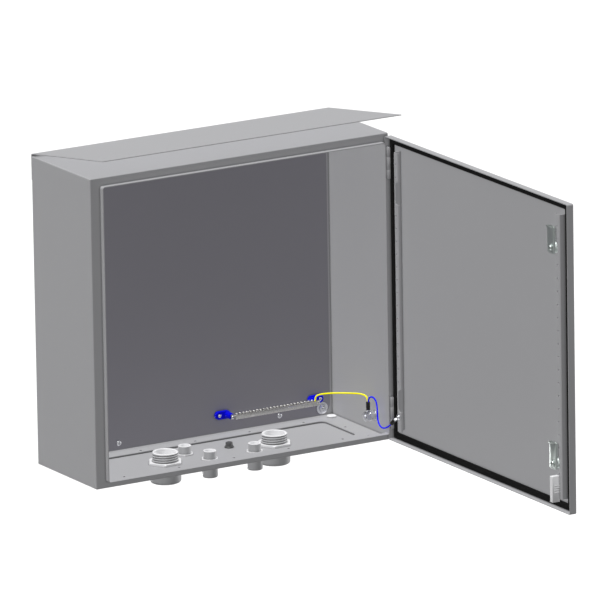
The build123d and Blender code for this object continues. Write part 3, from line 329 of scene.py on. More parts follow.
# The cabinet's finishes
def make_finishes():
    """Every finish, by the name of its slot in the record."""
    # The crease reach of each kind of finish, in metres: painted shade darkens its colour in any narrower
    # crease
    paint = {"specular": 0.1, "crease_shade_reach": 0.006}
    moulding = {"specular": 0.3, "crease_shade_reach": 0.005}
    glossless = {"specular": 0.08, "crease_shade_reach": 0.003}
    metal = {"crease_shade_reach": 0.003}
    return {
        "grey_paint": grained(
            "grey_powder_coat", (0.333, 0.333, 0.343), 0.5, 620.0, 0.00004, 0.012, **paint
        ),
        "dark_paint": grained(
            "dark_powder_coat", (0.21, 0.205, 0.228), 0.55, 620.0, 0.00004, 0.014, **paint
        ),
        "zinc": plated(
            "bright_zinc", (0.86, 0.87, 0.89), (0.72, 0.73, 0.76), 0.2, 0.00001, 0.07, **metal
        ),
        "green_zinc": plated(
            "green_zinc_plate", (0.54, 0.58, 0.56), (0.45, 0.5, 0.48), 0.28, 0.000012, 0.08, **metal
        ),
        "nickel": plated(
            "nickelled_brass", (0.7, 0.69, 0.67), (0.58, 0.57, 0.55), 0.2, 0.00001, 0.05, **metal
        ),
        "grey_nylon": grained(
            "grey_nylon", (0.32, 0.322, 0.33), 0.42, 2400.0, 0.00002, 0.02, **moulding
        ),
        "pale_nylon": grained(
            "pale_nylon", (0.38, 0.382, 0.39), 0.42, 2400.0, 0.00002, 0.02, **moulding
        ),
        # Painted shade: a darker nylon for the faces down in a deep thread's groove, where shade falls
        "groove_shade_nylon": grained(
            "groove_shade_nylon", (0.13, 0.13, 0.135), 0.5, 2400.0, 0.00002, 0.02, **moulding
        ),
        # Light nylon of the locknuts, floor plug and guide block, also used as painted light in the gland
        # bores and on their rims
        "light_nylon": grained(
            "light_nylon", (0.68, 0.68, 0.69), 0.42, 2400.0, 0.00002, 0.015, **moulding
        ),
        "black_nylon": grained(
            "black_nylon", (0.075, 0.075, 0.077), 0.4, 2200.0, 0.00002, 0.04, **moulding
        ),
        "black_rubber": grained(
            "black_rubber", (0.012, 0.012, 0.012), 0.62, 1800.0, 0.00003, 0.05, specular=0.2
        ),
        "grey_rubber": grained(
            "grey_rubber", (0.11, 0.11, 0.112), 0.62, 1800.0, 0.00003, 0.05, specular=0.2
        ),
        "gasket_foam": grained(
            "gasket_foam", (0.005, 0.005, 0.005), 0.75, 900.0, 0.00012, 0.08, specular=0.05
        ),
        "blue_plastic": grained(
            "blue_moulding", (0.001, 0.002, 0.5), 0.4, 2000.0, 0.00002, 0.03, **glossless
        ),
        "yellow_insulation": grained(
            "yellow_insulation", (0.95, 0.89, 0.003), 0.45, 1500.0, 0.00001, 0.02, **glossless
        ),
        "blue_insulation": grained(
            "blue_insulation", (0.001, 0.002, 0.78), 0.45, 1500.0, 0.00001, 0.02, **glossless
        ),
    }


finishes = make_finishes()


def dress_cad_nodes():
    """Gives every node of the frame the finish of its slot in the record."""
    for row in frame["record"]["subparts"]:
        mesh = frame["nodes"][row["node"]].data
        mesh.materials.clear()
        mesh.materials.append(finishes[row["material_slot"]])
    for node, finish in (("door_gasket", "gasket_foam"), ("gland_plate_seal", "grey_rubber")):
        frame["nodes"][node].data.materials[0] = finishes[finish]


# Mesh tools. Vertices closer than these distances in metres are one.
FINE_WELD = 0.0000005
CAD_WELD = 0.000001
BEVEL_FROM = radians(40)


def tidy_mesh(mesh):
    """Merges what meets, turns the faces outwards and keeps the edges sharp where the shape has one."""
    shape = bmesh.new()
    shape.from_mesh(mesh)
    bmesh.ops.remove_doubles(shape, verts=shape.verts, dist=FINE_WELD)
    bmesh.ops.recalc_face_normals(shape, faces=shape.faces)
    shape.to_mesh(mesh)
    shape.free()
    mesh.polygons.foreach_set("use_smooth", [True] * len(mesh.polygons))
    mesh.set_sharp_from_angle(angle=SMOOTH_UP_TO)
    return mesh


def turned(rings, sides=48, closed=False):
    """A mesh turned about Z from rings of (radius, height). A radius may be a rule of the angle, and a
    height a rule of the radius. A closed one joins its last ring to its first, and the others end on Z."""
    points = []
    for radius, height in rings:
        for i in range(sides):
            angle = 2 * pi * i / sides
            r = radius(angle) if callable(radius) else radius
            z = height(r) if callable(height) else height
            points.append((r * cos(angle) * MM, r * sin(angle) * MM, z * MM))
    faces = []
    count = len(rings)
    for row in range(count if closed else count - 1):
        low = row * sides
        high = (row + 1) % count * sides
        for i in range(sides):
            j = (i + 1) % sides
            faces.append((low + i, low + j, high + j, high + i))
    mesh = bpy.data.meshes.new("turned")
    mesh.from_pydata(points, [], faces)
    return tidy_mesh(mesh)


def hexagon(across_flats):
    """A hexagon's radius at each angle, with its corners on the X axis."""
    return lambda angle: across_flats / 2 / cos(angle % (pi / 3) - pi / 6)


def cross_recess(arm, half_width):
    """A cross recess's radius at each angle."""

    def radius(angle):
        turn = angle % (pi / 2)
        turn = min(turn, pi / 2 - turn)
        return min(arm / cos(turn), half_width / max(sin(turn), 0.001))

    return radius


def straight_slot(arm, half_width):
    """A straight slot's radius at each angle."""
    return lambda angle: min(
        arm / max(abs(cos(angle)), 0.001), half_width / max(abs(sin(angle)), 0.001)
    )


def toothed(radius, depth, count):
    """The radius of an edge with rounded teeth or ribs, at each angle."""
    return lambda angle: radius - depth * (0.5 + 0.5 * cos(count * angle))


HEXAGON_SLOPE = tan(radians(30))
NUT_FLAT_SHARE = 0.485
NUT_CLEARANCE = 0.05
WASHER_CLEARANCE = 0.5
# A pan head's outline, in shares of its radius and its height
PAN_HEAD = [(1, 0), (1, 0.3), (0.96, 0.55), (0.86, 0.8), (0.7, 0.95), (0.55, 1)]


def smaller_of(rule, limit):
    """A radius rule that goes no further out than the limit."""
    return lambda angle: min(rule(angle), limit)


def nut(across_flats, bore, height, flat=None, both_ends=True):
    """A hexagon nut with its corners turned off outside the flat radius, and its bore eased."""
    flat = flat or NUT_FLAT_SHARE * across_flats
    ease = min(0.12 * bore, 0.15 * height)
    outline = hexagon(across_flats)
    foot = (lambda r: max(r - flat, 0) * HEXAGON_SLOPE) if both_ends else 0
    foot_radius = smaller_of(outline, flat) if both_ends else outline
    return turned(
        [
            (bore + ease, 0),
            (foot_radius, 0),
            (outline, foot),
            (outline, lambda r: height - max(r - flat, 0) * HEXAGON_SLOPE),
            (smaller_of(outline, flat), height),
            (bore + ease, height),
            (bore, height - ease),
            (bore, ease),
        ],
        sides=72,
        closed=True,
    )


def washer(radius, bore, thickness):
    """A punched washer, rounded on one side. Its radius may be a rule of the angle."""
    ease = 0.2 * thickness

    def inside(step):
        return (lambda angle: radius(angle) - step) if callable(radius) else radius - step

    return turned(
        [
            (bore, 0),
            (inside(ease / 2), 0),
            (inside(0), ease / 2),
            (inside(0), thickness - ease),
            (inside(ease / 3), thickness - ease / 3),
            (inside(ease), thickness),
            (bore + ease, thickness),
            (bore, thickness - ease),
        ],
        sides=96,
        closed=True,
    )


def screw_rings(radius, depth, pitch, bottom, top, steps):
    """Rings of a rounded screw thread from one height to another."""

    def radius_at(height):
        turns = (height - bottom) / pitch
        return lambda angle: radius - depth * (0.5 + 0.5 * cos(2 * pi * turns - angle)) ** 2

    count = round((top - bottom) / pitch * steps)
    heights = [bottom + (top - bottom) * i / count for i in range(count + 1)]
    return [(radius_at(height), height) for height in heights]


def rounded_corner(radius, height, size, steps=5):
    """Rings round a lower outer corner: from the flat bottom out and up to the side."""
    rings = []
    for i in range(steps + 1):
        angle = pi / 2 * i / steps
        rings.append((radius - size + size * sin(angle), height + size - size * cos(angle)))
    return rings


def pan_screw(size, shank, recess):
    """A screw whose head sits on Z 0: shank below, rounded head above, with its driving recess.
    Its size is the head's radius and height, and the shank's radius."""
    head_radius, head_height, shank_radius = size
    depth = 0.6 * head_height
    return turned(
        [
            (0, -shank),
            (0.8 * shank_radius, -shank),
            (shank_radius, -shank + 0.3 * shank_radius),
            (shank_radius, 0),
            *[(wide * head_radius, tall * head_height) for wide, tall in PAN_HEAD],
            (recess, head_height),
            (recess, head_height - depth),
            (0, head_height - 1.2 * depth),
        ],
        sides=72,
    )


# Geometry Nodes: copies of one piece, and a screw thread
def new_geometry_tree(name, inputs):
    """A tree with a geometry input and output and these named inputs."""
    tree = bpy.data.node_groups.new(name, "GeometryNodeTree")
    tree.interface.new_socket("Geometry", in_out="INPUT", socket_type="NodeSocketGeometry")
    for label, kind in inputs:
        tree.interface.new_socket(label, in_out="INPUT", socket_type=kind)
    tree.interface.new_socket("Geometry", in_out="OUTPUT", socket_type="NodeSocketGeometry")
    return tree, tree.nodes.new("NodeGroupInput"), tree.nodes.new("NodeGroupOutput")


def end_geometry_tree(tree, start, end, made):
    """Every tree ends in real geometry with its material."""
    real = tree.nodes.new("GeometryNodeRealizeInstances")
    paint = tree.nodes.new("GeometryNodeSetMaterial")
    tree.links.new(made, real.inputs[0])
    tree.links.new(real.outputs[0], paint.inputs["Geometry"])
    tree.links.new(start.outputs["Material"], paint.inputs["Material"])
    tree.links.new(paint.outputs[0], end.inputs[0])
    return tree


def make_copies_tree():
    """Sets a copy of the piece on each point."""
    tree, start, end = new_geometry_tree(
        "copies_on_points", [("Piece", "NodeSocketObject"), ("Material", "NodeSocketMaterial")]
    )
    piece = tree.nodes.new("GeometryNodeObjectInfo")
    copies = tree.nodes.new("GeometryNodeInstanceOnPoints")
    tree.links.new(start.outputs["Piece"], piece.inputs["Object"])
    tree.links.new(start.outputs["Geometry"], copies.inputs["Points"])
    tree.links.new(piece.outputs["Geometry"], copies.inputs["Instance"])
    return end_geometry_tree(tree, start, end, copies.outputs[0])


def make_row_tree():
    """Sets a number of copies of the piece in a row, a pitch apart along X."""
    tree, start, end = new_geometry_tree(
        "copies_in_a_row",
        [
            ("Piece", "NodeSocketObject"),
            ("Count", "NodeSocketInt"),
            ("Pitch", "NodeSocketFloat"),
            ("Material", "NodeSocketMaterial"),
        ],
    )
    piece = tree.nodes.new("GeometryNodeObjectInfo")
    step = tree.nodes.new("ShaderNodeCombineXYZ")
    line = tree.nodes.new("GeometryNodeMeshLine")
    copies = tree.nodes.new("GeometryNodeInstanceOnPoints")
    tree.links.new(start.outputs["Piece"], piece.inputs["Object"])
    tree.links.new(start.outputs["Pitch"], step.inputs["X"])
    tree.links.new(start.outputs["Count"], line.inputs["Count"])
    tree.links.new(step.outputs[0], line.inputs["Offset"])
    tree.links.new(line.outputs[0], copies.inputs["Points"])
    tree.links.new(piece.outputs["Geometry"], copies.inputs["Instance"])
    return end_geometry_tree(tree, start, end, copies.outputs[0])


def make_thread_tree():
    """Winds one ridge round Z as a screw thread."""
    tree, start, end = new_geometry_tree(
        "screw_thread",
        [
            ("Radius", "NodeSocketFloat"),
            ("Turns", "NodeSocketFloat"),
            ("Length", "NodeSocketFloat"),
            ("Ridge", "NodeSocketFloat"),
            ("Material", "NodeSocketMaterial"),
        ],
    )
    helix = tree.nodes.new("GeometryNodeCurveSpiral")
    helix.inputs["Resolution"].default_value = 40
    ridge = tree.nodes.new("GeometryNodeCurvePrimitiveCircle")
    ridge.inputs["Resolution"].default_value = 4
    sweep = tree.nodes.new("GeometryNodeCurveToMesh")
    sweep.inputs["Fill Caps"].default_value = True
    tree.links.new(start.outputs["Radius"], helix.inputs["Start Radius"])
    tree.links.new(start.outputs["Radius"], helix.inputs["End Radius"])
    tree.links.new(start.outputs["Turns"], helix.inputs["Rotations"])
    tree.links.new(start.outputs["Length"], helix.inputs["Height"])
    tree.links.new(start.outputs["Ridge"], ridge.inputs["Radius"])
    tree.links.new(helix.outputs[0], sweep.inputs["Curve"])
    tree.links.new(ridge.outputs[0], sweep.inputs["Profile Curve"])
    return end_geometry_tree(tree, start, end, sweep.outputs[0])


copies_tree = make_copies_tree()
row_tree = make_row_tree()
thread_tree = make_thread_tree()


def run_tree(tree, seed_mesh, values):
    """Runs a tree on a mesh and gives its result as a plain mesh."""
    holder = placed("holder", seed_mesh)
    modifier = holder.modifiers.new("tree", "NODES")
    modifier.node_group = tree
    for socket in tree.interface.items_tree:
        if socket.in_out == "INPUT" and socket.name in values:
            modifier[socket.identifier] = values[socket.name]
    return plain_mesh(holder)


def copies_on(mesh, places, finish):
    """One mesh that holds a copy at each place."""
    points = bpy.data.meshes.new("places")
    points.from_pydata([tuple(place) for place in places], [], [])
    lent = placed("lent", mesh)
    made = run_tree(copies_tree, points, {"Piece": lent, "Material": finishes[finish]})
    bpy.data.objects.remove(lent)
    return made


def copies_in_row(mesh, first, count, pitch, finish):
    """One mesh that holds a row of copies along X, from the first place."""
    lent = placed("lent", mesh)
    values = {"Piece": lent, "Count": count, "Pitch": pitch, "Material": finishes[finish]}
    made = run_tree(row_tree, bpy.data.meshes.new("row"), values)
    bpy.data.objects.remove(lent)
    made.transform(Matrix.Translation(first))
    return made


def thread(radius, length, pitch, ridge, finish):
    """A screw thread's ridge from Z 0 up."""
    values = {
        "Radius": radius * MM,
        "Turns": length / pitch,
        "Length": length * MM,
        "Ridge": ridge * MM,
        "Material": finishes[finish],
    }
    return run_tree(thread_tree, bpy.data.meshes.new("thread"), values)


def add_piece(name, mesh, body, finish, nodes=()):
    """Shows a finished mesh as a piece on its body, in place of the nodes that it stands for."""
    mesh.name = name
    mesh.materials.clear()
    mesh.materials.append(finishes[finish])
    mesh.polygons.foreach_set("use_smooth", [True] * len(mesh.polygons))
    mesh.polygons.foreach_set("material_index", [0] * len(mesh.polygons))
    mesh.set_sharp_from_angle(angle=SMOOTH_UP_TO)
    piece = placed(name, mesh)
    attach(piece, body)
    if nodes:
        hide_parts(*nodes)
    return piece


def joined(meshes):
    """Several meshes as one."""
    shape = bmesh.new()
    for mesh in meshes:
        shape.from_mesh(mesh)
    made = bpy.data.meshes.new("joined")
    shape.to_mesh(made)
    shape.free()
    return made


def faced(mesh, direction):
    """A mesh turned so that its top points this way."""
    mesh.transform(direction)
    return mesh


def set_at(mesh, place, direction):
    """A mesh turned so that its top points this way, and moved to its place."""
    mesh.transform(Matrix.Translation(place) @ direction)
    return mesh


def solids_of(node):
    """The lowest and highest corners of each separate solid of a CAD node, from left to right."""
    shape = bmesh.new()
    shape.from_mesh(frame["nodes"][node].data)
    bmesh.ops.remove_doubles(shape, verts=shape.verts, dist=CAD_WELD)
    left = set(shape.verts)
    boxes = []
    while left:
        reach = [left.pop()]
        corners = []
        while reach:
            vertex = reach.pop()
            corners.append(vertex.co.copy())
            for edge in vertex.link_edges:
                other = edge.other_vert(vertex)
                if other in left:
                    left.remove(other)
                    reach.append(other)
        low = Vector([min(c[axis] for c in corners) for axis in range(3)])
        high = Vector([max(c[axis] for c in corners) for axis in range(3)])
        boxes.append((low, high))
    shape.free()
    return sorted(boxes, key=lambda box: tuple(box[0]))


def end_of(box, axis, depth=0.0):
    """The middle of a box's high end along an axis, moved this far down it."""
    place = (box[0] + box[1]) / 2
    place[axis] = box[1][axis] - depth * MM
    return place


def places_at(node, axis, depth=0.0):
    """The middle of the high end of each solid of a node, moved this far down the axis."""
    return [end_of(box, axis, depth) for box in solids_of(node)]


def shank_of(box, axis, size):
    """How long a screw's shank is, when screw and box are equally long."""
    return (box[1][axis] - box[0][axis]) / MM - size[1]


def screw_in(box, axis, size, recess, direction, around=None):
    """A pan screw as long as its box, with its head at the low end, centred on a box around it."""
    screw = pan_screw(size, shank_of(box, axis, size), cross_recess(*recess))
    place = end_of(around or box, axis)
    place[axis] = box[0][axis] + size[1] * MM
    return set_at(screw, place, direction)


def softened(node, body, finish, width):
    """The CAD node's own shape with its edges rounded."""
    mesh = frame["nodes"][node].data.copy()
    shape = bmesh.new()
    shape.from_mesh(mesh)
    bmesh.ops.remove_doubles(shape, verts=shape.verts, dist=CAD_WELD)
    bmesh.ops.dissolve_limit(
        shape, angle_limit=radians(1), verts=shape.verts, edges=shape.edges
    )
    shape.to_mesh(mesh)
    shape.free()
    holder = placed("holder", mesh)
    bevel = holder.modifiers.new("rounding", "BEVEL")
    bevel.width = width * MM
    bevel.segments = 2
    bevel.limit_method = "ANGLE"
    bevel.angle_limit = BEVEL_FROM
    return add_piece(node + "_rounded", plain_mesh(holder), body, finish, [node])


# Earth wires. Each route has the same points as the solids, in millimetres.
WIRE_RADIUS = 1.5
YELLOW_ROUTE = [
    (262.4, -40.0, -256.0),
    (262.4, -40.0, -250.0),
    (264.0, -43.5, -244.5),
    (270.0, -53.0, -240.5),
    (279.0, -70.0, -236.5),
    (287.0, -90.0, -233.0),
    (294.5, -112.0, -229.5),
    (301.0, -133.0, -226.5),
    (306.0, -147.5, -226.0),
    (309.3, -156.3, -230.5),
    (309.3, -156.3, -238.5),
]
BLUE_ROUTE = [
    (309.3, -159.7, -238.5),
    (309.3, -159.7, -233.0),
    (310.0, -163.5, -228.5),
    (311.0, -169.0, -226.5),
    (312.2, -175.0, -227.5),
    (313.0, -180.5, -232.0),
    (313.2, -184.2, -240.0),
    (312.5, -186.8, -250.5),
    (311.0, -189.5, -261.5),
    (309.0, -195.0, -270.5),
    (307.0, -205.0, -276.0),
    (306.3, -217.0, -277.5),
    (307.0, -228.5, -273.5),
    (309.3, -236.8, -268.03),
    (309.3, -243.79, -262.36),
]


def wire_curve(name, route):
    """A smooth line with the route's points as its control points."""
    curve = bpy.data.curves.new(name, "CURVE")
    curve.dimensions = "3D"
    spline = curve.splines.new("NURBS")
    spline.points.add(len(route) - 1)
    for knot, point in zip(spline.points, route):
        knot.co = (point[0] * MM, point[1] * MM, point[2] * MM, 1)
    spline.order_u = 3
    spline.use_endpoint_u = True
    spline.resolution_u = 10
    return curve


def add_wire(name, route, finish, node, moves_with_door):
    """An insulated wire along its route. One that goes to the door is attached to neither body."""
    curve = wire_curve(name, route)
    path = [vertex.co.copy() for vertex in plain_mesh(placed("holder", curve)).vertices]
    curve.bevel_depth = WIRE_RADIUS * MM
    curve.bevel_resolution = 5
    curve.use_fill_caps = True
    mesh = tidy_mesh(plain_mesh(placed("holder", curve)))
    mesh.materials.clear()
    mesh.materials.append(finishes[finish])
    wire = placed(name, mesh)
    if moves_with_door:
        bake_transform(wire)
    else:
        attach(wire, "root")
    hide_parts(node)


# Mounting plate fixings
STUD_RADIUS = 4.0
STUD_NUT_FLATS = 13.0
STUD_NUT_HEIGHT = 6.5
STUD_THREAD_PITCH = 1.25
STUD_THREAD_SINK = 0.1
STUD_TIP_EASE = 0.6
STUD_RIDGE = 0.4
STUD_WASHER_RADIUS = 12.0
STUD_WASHER_THICKNESS = 2.0
# Each screw has its head's radius and height and its shank's radius, and its recess's two half sizes
EDGE_SCREW = (5.0, 1.6, 3.0)
EDGE_RECESS = (2.4, 0.6)


def add_plate_fixings():
    """Nuts, washers and threads on the four studs, and the four screws at the plate's edges."""
    nuts = faced(nut(STUD_NUT_FLATS, STUD_RADIUS + NUT_CLEARANCE, STUD_NUT_HEIGHT), FRONT)
    mesh = copies_on(nuts, places_at("plate_nuts", 1), "zinc")
    add_piece("mounting_plate_nuts", mesh, "root", "zinc", ["plate_nuts"])
    disc = washer(STUD_WASHER_RADIUS, STUD_RADIUS + WASHER_CLEARANCE, STUD_WASHER_THICKNESS)
    mesh = copies_on(faced(disc, FRONT), places_at("plate_washers", 1), "zinc")
    add_piece("mounting_plate_washers", mesh, "root", "zinc", ["plate_washers"])
    tip = (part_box("plate_nuts")[0].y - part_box("plate_studs")[0].y) / MM
    radius, length = STUD_RADIUS - STUD_THREAD_SINK, tip - STUD_TIP_EASE
    ridge = faced(thread(radius, length, STUD_THREAD_PITCH, STUD_RIDGE, "zinc"), FRONT)
    places = places_at("plate_nuts", 1, STUD_NUT_HEIGHT)
    add_piece("stud_threads", copies_on(ridge, places, "zinc"), "root", "zinc")
    shank = shank_of(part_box("plate_edge_screws"), 1, EDGE_SCREW)
    screw = faced(pan_screw(EDGE_SCREW, shank, cross_recess(*EDGE_RECESS)), FRONT)
    mesh = copies_on(screw, places_at("plate_edge_screws", 1, shank), "zinc")
    add_piece("mounting_plate_screws", mesh, "root", "zinc", ["plate_edge_screws"])


# Cable glands, two large and three small: heights are in the frame
GLAND_PLATE_TOP = -300.5
GLAND_PLATE_BOTTOM = -302.5
GLANDS = {
    "large": {
        "places": [(-120.0, -125.0), (120.0, -125.0)],
        "flats": 60.0,
        "stub": 25.0,
        "bore": 21.0,
        "top": -278.0,
        "flange": 6.0,
        "dome": 29.0,
        "nut": 4.5,
        "pitch": 4.5,
        "depth": 1.9,
        "steps": 24,
        "finish": "pale_nylon",
    },
    "small": {
        "places": [(-58.0, -92.0), (-37.0, -150.0), (61.0, -151.0)],
        "flats": 30.0,
        "stub": 12.5,
        "bore": 10.0,
        "top": -283.0,
        "flange": 5.0,
        "dome": 27.0,
        "nut": 2.6,
        "pitch": 1.5,
        "depth": 0.3,
        "steps": 6,
        "finish": "grey_nylon",
    },
}
BODY_CORNER_SHARE = 0.51
LOCKNUT_CORNER_SHARE = 0.545
# How far into a deep thread the painted shade of its groove reaches, as a share of the thread's depth
GROOVE_SHADE_SHARE = 0.45
# How far the painted light of a bore reaches out from it, and down from the body's top
BORE_LIGHT_REACH = 0.2
LIT_RIM_DEPTH = 0.8
DEEP_THREAD = 1


def gland_body(size):
    """A gland's body: the socket below, the hexagon flange, and the threaded stub above the plate."""
    stub, bore, top = size["stub"], size["bore"], size["top"]
    ease = 0.04 * stub
    flange_bottom = GLAND_PLATE_BOTTOM - size["flange"]
    socket_end = flange_bottom - size["dome"] / 2
    outline = hexagon(size["flats"])
    flat = BODY_CORNER_SHARE * size["flats"]
    thread_start = GLAND_PLATE_TOP + size["nut"] / 2
    return turned(
        [
            (bore + ease, socket_end),
            (stub - ease, socket_end),
            (stub, socket_end + ease),
            (stub, flange_bottom),
            (smaller_of(outline, flat), flange_bottom),
            (outline, lambda r: flange_bottom + max(r - flat, 0) * HEXAGON_SLOPE),
            (outline, GLAND_PLATE_BOTTOM),
            (stub, GLAND_PLATE_BOTTOM),
            *screw_rings(
                stub, size["depth"], size["pitch"], thread_start, top - ease, size["steps"]
            ),
            (stub - size["depth"] / 2 - ease / 2, top),
            (bore + ease, top),
            (bore, top - ease),
            (bore, socket_end + ease),
        ],
        sides=84,
        closed=True,
    )


def gland_dome_nut(size):
    """The rounded nut that closes a gland from below."""
    stub, bore = size["stub"], size["bore"]
    top = GLAND_PLATE_BOTTOM - size["flange"]
    bottom = top - size["dome"]
    wall = (size["flats"] / 2 - stub) / 2
    step = bottom + size["dome"] / 4
    hole = bore - wall
    return turned(
        [
            (hole + 0.3 * wall, bottom),
            *rounded_corner(size["flats"] / 2, bottom, 2 * wall),
            (size["flats"] / 2, top - 0.3 * wall),
            (size["flats"] / 2 - 0.3 * wall, top),
            (stub + 0.4 * wall, top),
            (stub + 0.1, top - 0.3 * wall),
            (stub + 0.1, step),
            (hole, step),
            (hole, bottom + 0.3 * wall),
        ],
        sides=84,
        closed=True,
    )


def paint_bore_light_and_groove_shade(mesh, places, size):
    """Paints gland bodies lighter in the bore and on the top rim, as painted light, and darker down in a
    deep thread, as painted shade.
    """
    mesh.materials.append(finishes["light_nylon"])
    mesh.materials.append(finishes["groove_shade_nylon"])
    lit_bore_reach = (size["bore"] + BORE_LIGHT_REACH) * MM
    lit_rim_height = (size["top"] - LIT_RIM_DEPTH) * MM
    shaded_groove_radius = (size["stub"] - GROOVE_SHADE_SHARE * size["depth"]) * MM
    thread_foot = (GLAND_PLATE_TOP + size["nut"]) * MM
    for face in mesh.polygons:
        near = min((face.center.xy - place.xy).length for place in places)
        # Painted light in the bore and on the top rim, in the light nylon of the locknuts
        if near < lit_bore_reach or face.center.z > lit_rim_height:
            face.material_index = 1
        # Painted shade down in the groove of a deep thread
        elif near < shaded_groove_radius and face.center.z > thread_foot and size["depth"] > DEEP_THREAD:
            face.material_index = 2


def on_plate(size):
    """The places of a size of gland, as points at height zero."""
    return [Vector((x * MM, y * MM, 0)) for x, y in size["places"]]


def add_glands():
    """Threaded bodies, locknuts inside the cabinet and dome nuts below it."""
    for name, size in GLANDS.items():
        places = on_plate(size)
        nodes = [name + "_gland_bodies"]
        mesh = copies_on(gland_body(size), places, size["finish"])
        body = add_piece(name + "_threaded_bodies", mesh, "root", size["finish"], nodes)
        paint_bore_light_and_groove_shade(mesh, places, size)
        nodes = [name + "_gland_dome_nuts"]
        mesh = copies_on(gland_dome_nut(size), places, "grey_nylon")
        add_piece(name + "_closing_nuts", mesh, "root", "grey_nylon", nodes)
        flat = LOCKNUT_CORNER_SHARE * size["flats"]
        bore = size["stub"] + NUT_CLEARANCE
        locknut = nut(size["flats"], bore, size["nut"], flat, both_ends=False)
        locknut.transform(Matrix.Translation((0, 0, GLAND_PLATE_TOP * MM)))
        nodes = [name + "_gland_locknuts"]
        mesh = copies_on(locknut, places, "light_nylon")
        add_piece(name + "_chamfered_locknuts", mesh, "root", "light_nylon", nodes)


# Gland plate screws, and the two plastic plugs
GLAND_SCREW = (4.6, 2.6, 2.5)
GLAND_RECESS = (2.6, 0.6)
FLOOR_PLUG_ROUNDING = 0.6
VENT_RIBS = toothed(7.0, 0.4, 24)
# The vent plug's outline, from its foot up, with heights from the gland plate's top
VENT_PROFILE = [
    (0, -7.0),
    (4.4, -7.0),
    (5.0, -6.2),
    (5.0, 0),
    (8.8, 0),
    (9.2, 0.5),
    (9.2, 2.0),
    (8.6, 2.6),
    (7.6, 2.6),
    (VENT_RIBS, 3.2),
    (VENT_RIBS, 9.0),
    (6.4, 10.2),
    (5.4, 10.6),
    (4.2, 10.6),
    (3.8, 9.8),
    (0, 9.6),
]


def middle_of(node):
    """The middle of a node, from above, at height zero."""
    low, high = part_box(node)
    return Vector(((low.x + high.x) / 2, (low.y + high.y) / 2, 0))


def add_floor_fittings():
    """The screws under the gland plate, the vent plug and the plug in the rear corner."""
    shank = shank_of(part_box("gland_plate_screws"), 2, GLAND_SCREW)
    screw = faced(pan_screw(GLAND_SCREW, shank, cross_recess(*GLAND_RECESS)), DOWN)
    places = places_at("gland_plate_screws", 2)
    for place in places:
        place.z = GLAND_PLATE_BOTTOM * MM
    mesh = copies_on(screw, places, "zinc")
    add_piece("gland_plate_fixings", mesh, "root", "zinc", ["gland_plate_screws"])
    vent = turned([(radius, GLAND_PLATE_TOP + height) for radius, height in VENT_PROFILE], sides=96)
    vent.transform(Matrix.Translation(middle_of("vent_plug")))
    add_piece("ribbed_vent_plug", vent, "root", "black_nylon", ["vent_plug"])
    softened("floor_plug", "root", "light_nylon", FLOOR_PLUG_ROUNDING)


# Roof rivets
RIVET_SHANK = 4.2
RIVET_HEAD = 1.2
# A rivet's outline, from its foot up and into its mandrel hole
RIVET_PROFILE = [
    (0, -RIVET_SHANK),
    (1.8, -RIVET_SHANK),
    (2.4, -RIVET_SHANK + 0.7),
    (2.4, 0),
    (4.7, 0),
    (4.8, 0.15),
    (4.5, 0.5),
    (3.8, 0.85),
    (2.9, 1.08),
    (1.9, RIVET_HEAD),
    (1.3, RIVET_HEAD),
    (1.2, 0.3),
    (0, 0.3),
]


def add_roof_rivets():
    """Blind rivets through the roof's rear flange, each with its mandrel hole."""
    rivet = faced(turned(RIVET_PROFILE, sides=40), BACK)
    mesh = copies_on(rivet, places_at("roof_rivets", 1, RIVET_HEAD), "zinc")
    add_piece("blind_rivets", mesh, "root", "zinc", ["roof_rivets"])


# Locks on the door: a barrel with its rosette and nut, and a cam that the key turns
LOCK_NUT = (27.0, 11.05, 5.0)
ROSETTE_THICKNESS = 3.0
CAM_ROUNDING = 0.7
DRIVER_ROUNDING = 0.2
CAM_SCREW = (5.0, 2.6, 2.5)
CAM_RECESS = (2.8, 0.7)
CAM_WASHER_EDGE = toothed(7.0, 0.5, 16)
CAM_WASHER_BORE = 2.6
CAM_WASHER_THICKNESS = 1.2


def lock_barrel():
    """A lock's barrel with its rosette, from the door's outer face inwards."""
    return turned(
        [
            (7.35, -3.0),
            (12.6, -3.0),
            (13.8, -2.75),
            (14.6, -2.2),
            (15.0, -1.4),
            (15.0, -0.3),
            (14.7, 0),
            (11.0, 0),
            *screw_rings(11.0, 0.4, 1.5, 1.5, 17.4, 6),
            (10.5, 18.0),
            (7.35, 18.0),
            (7.05, 17.7),
            (7.05, -2.7),
        ],
        sides=72,
        closed=True,
    )


def add_locks():
    """Both locks, with rounded cams and recessed screws."""
    places = places_at("lock_barrels", 0, ROSETTE_THICKNESS)
    barrels = [set_at(lock_barrel(), place, LEFT) for place in places]
    nuts = [set_at(nut(*LOCK_NUT), place, LEFT) for place in places_at("lock_nuts", 0)]
    add_piece("turned_lock_barrels", joined(barrels), "door", "green_zinc", ["lock_barrels"])
    add_piece("chamfered_lock_nuts", joined(nuts), "door", "green_zinc", ["lock_nuts"])
    for side in ("upper", "lower"):
        body = side + "_lock"
        softened(side + "_lock_driver", body, "green_zinc", DRIVER_ROUNDING)
        softened(side + "_cam", body, "green_zinc", CAM_ROUNDING)
        node = side + "_cam_washer"
        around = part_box(node)
        disc = washer(CAM_WASHER_EDGE, CAM_WASHER_BORE, CAM_WASHER_THICKNESS)
        set_at(disc, end_of(around, 0), LEFT)
        add_piece(side + "_toothed_washer", disc, body, "green_zinc", [node])
        node = side + "_cam_screw"
        screw = screw_in(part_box(node), 0, CAM_SCREW, CAM_RECESS, LEFT, around)
        add_piece(side + "_recessed_screw", screw, body, "green_zinc", [node])


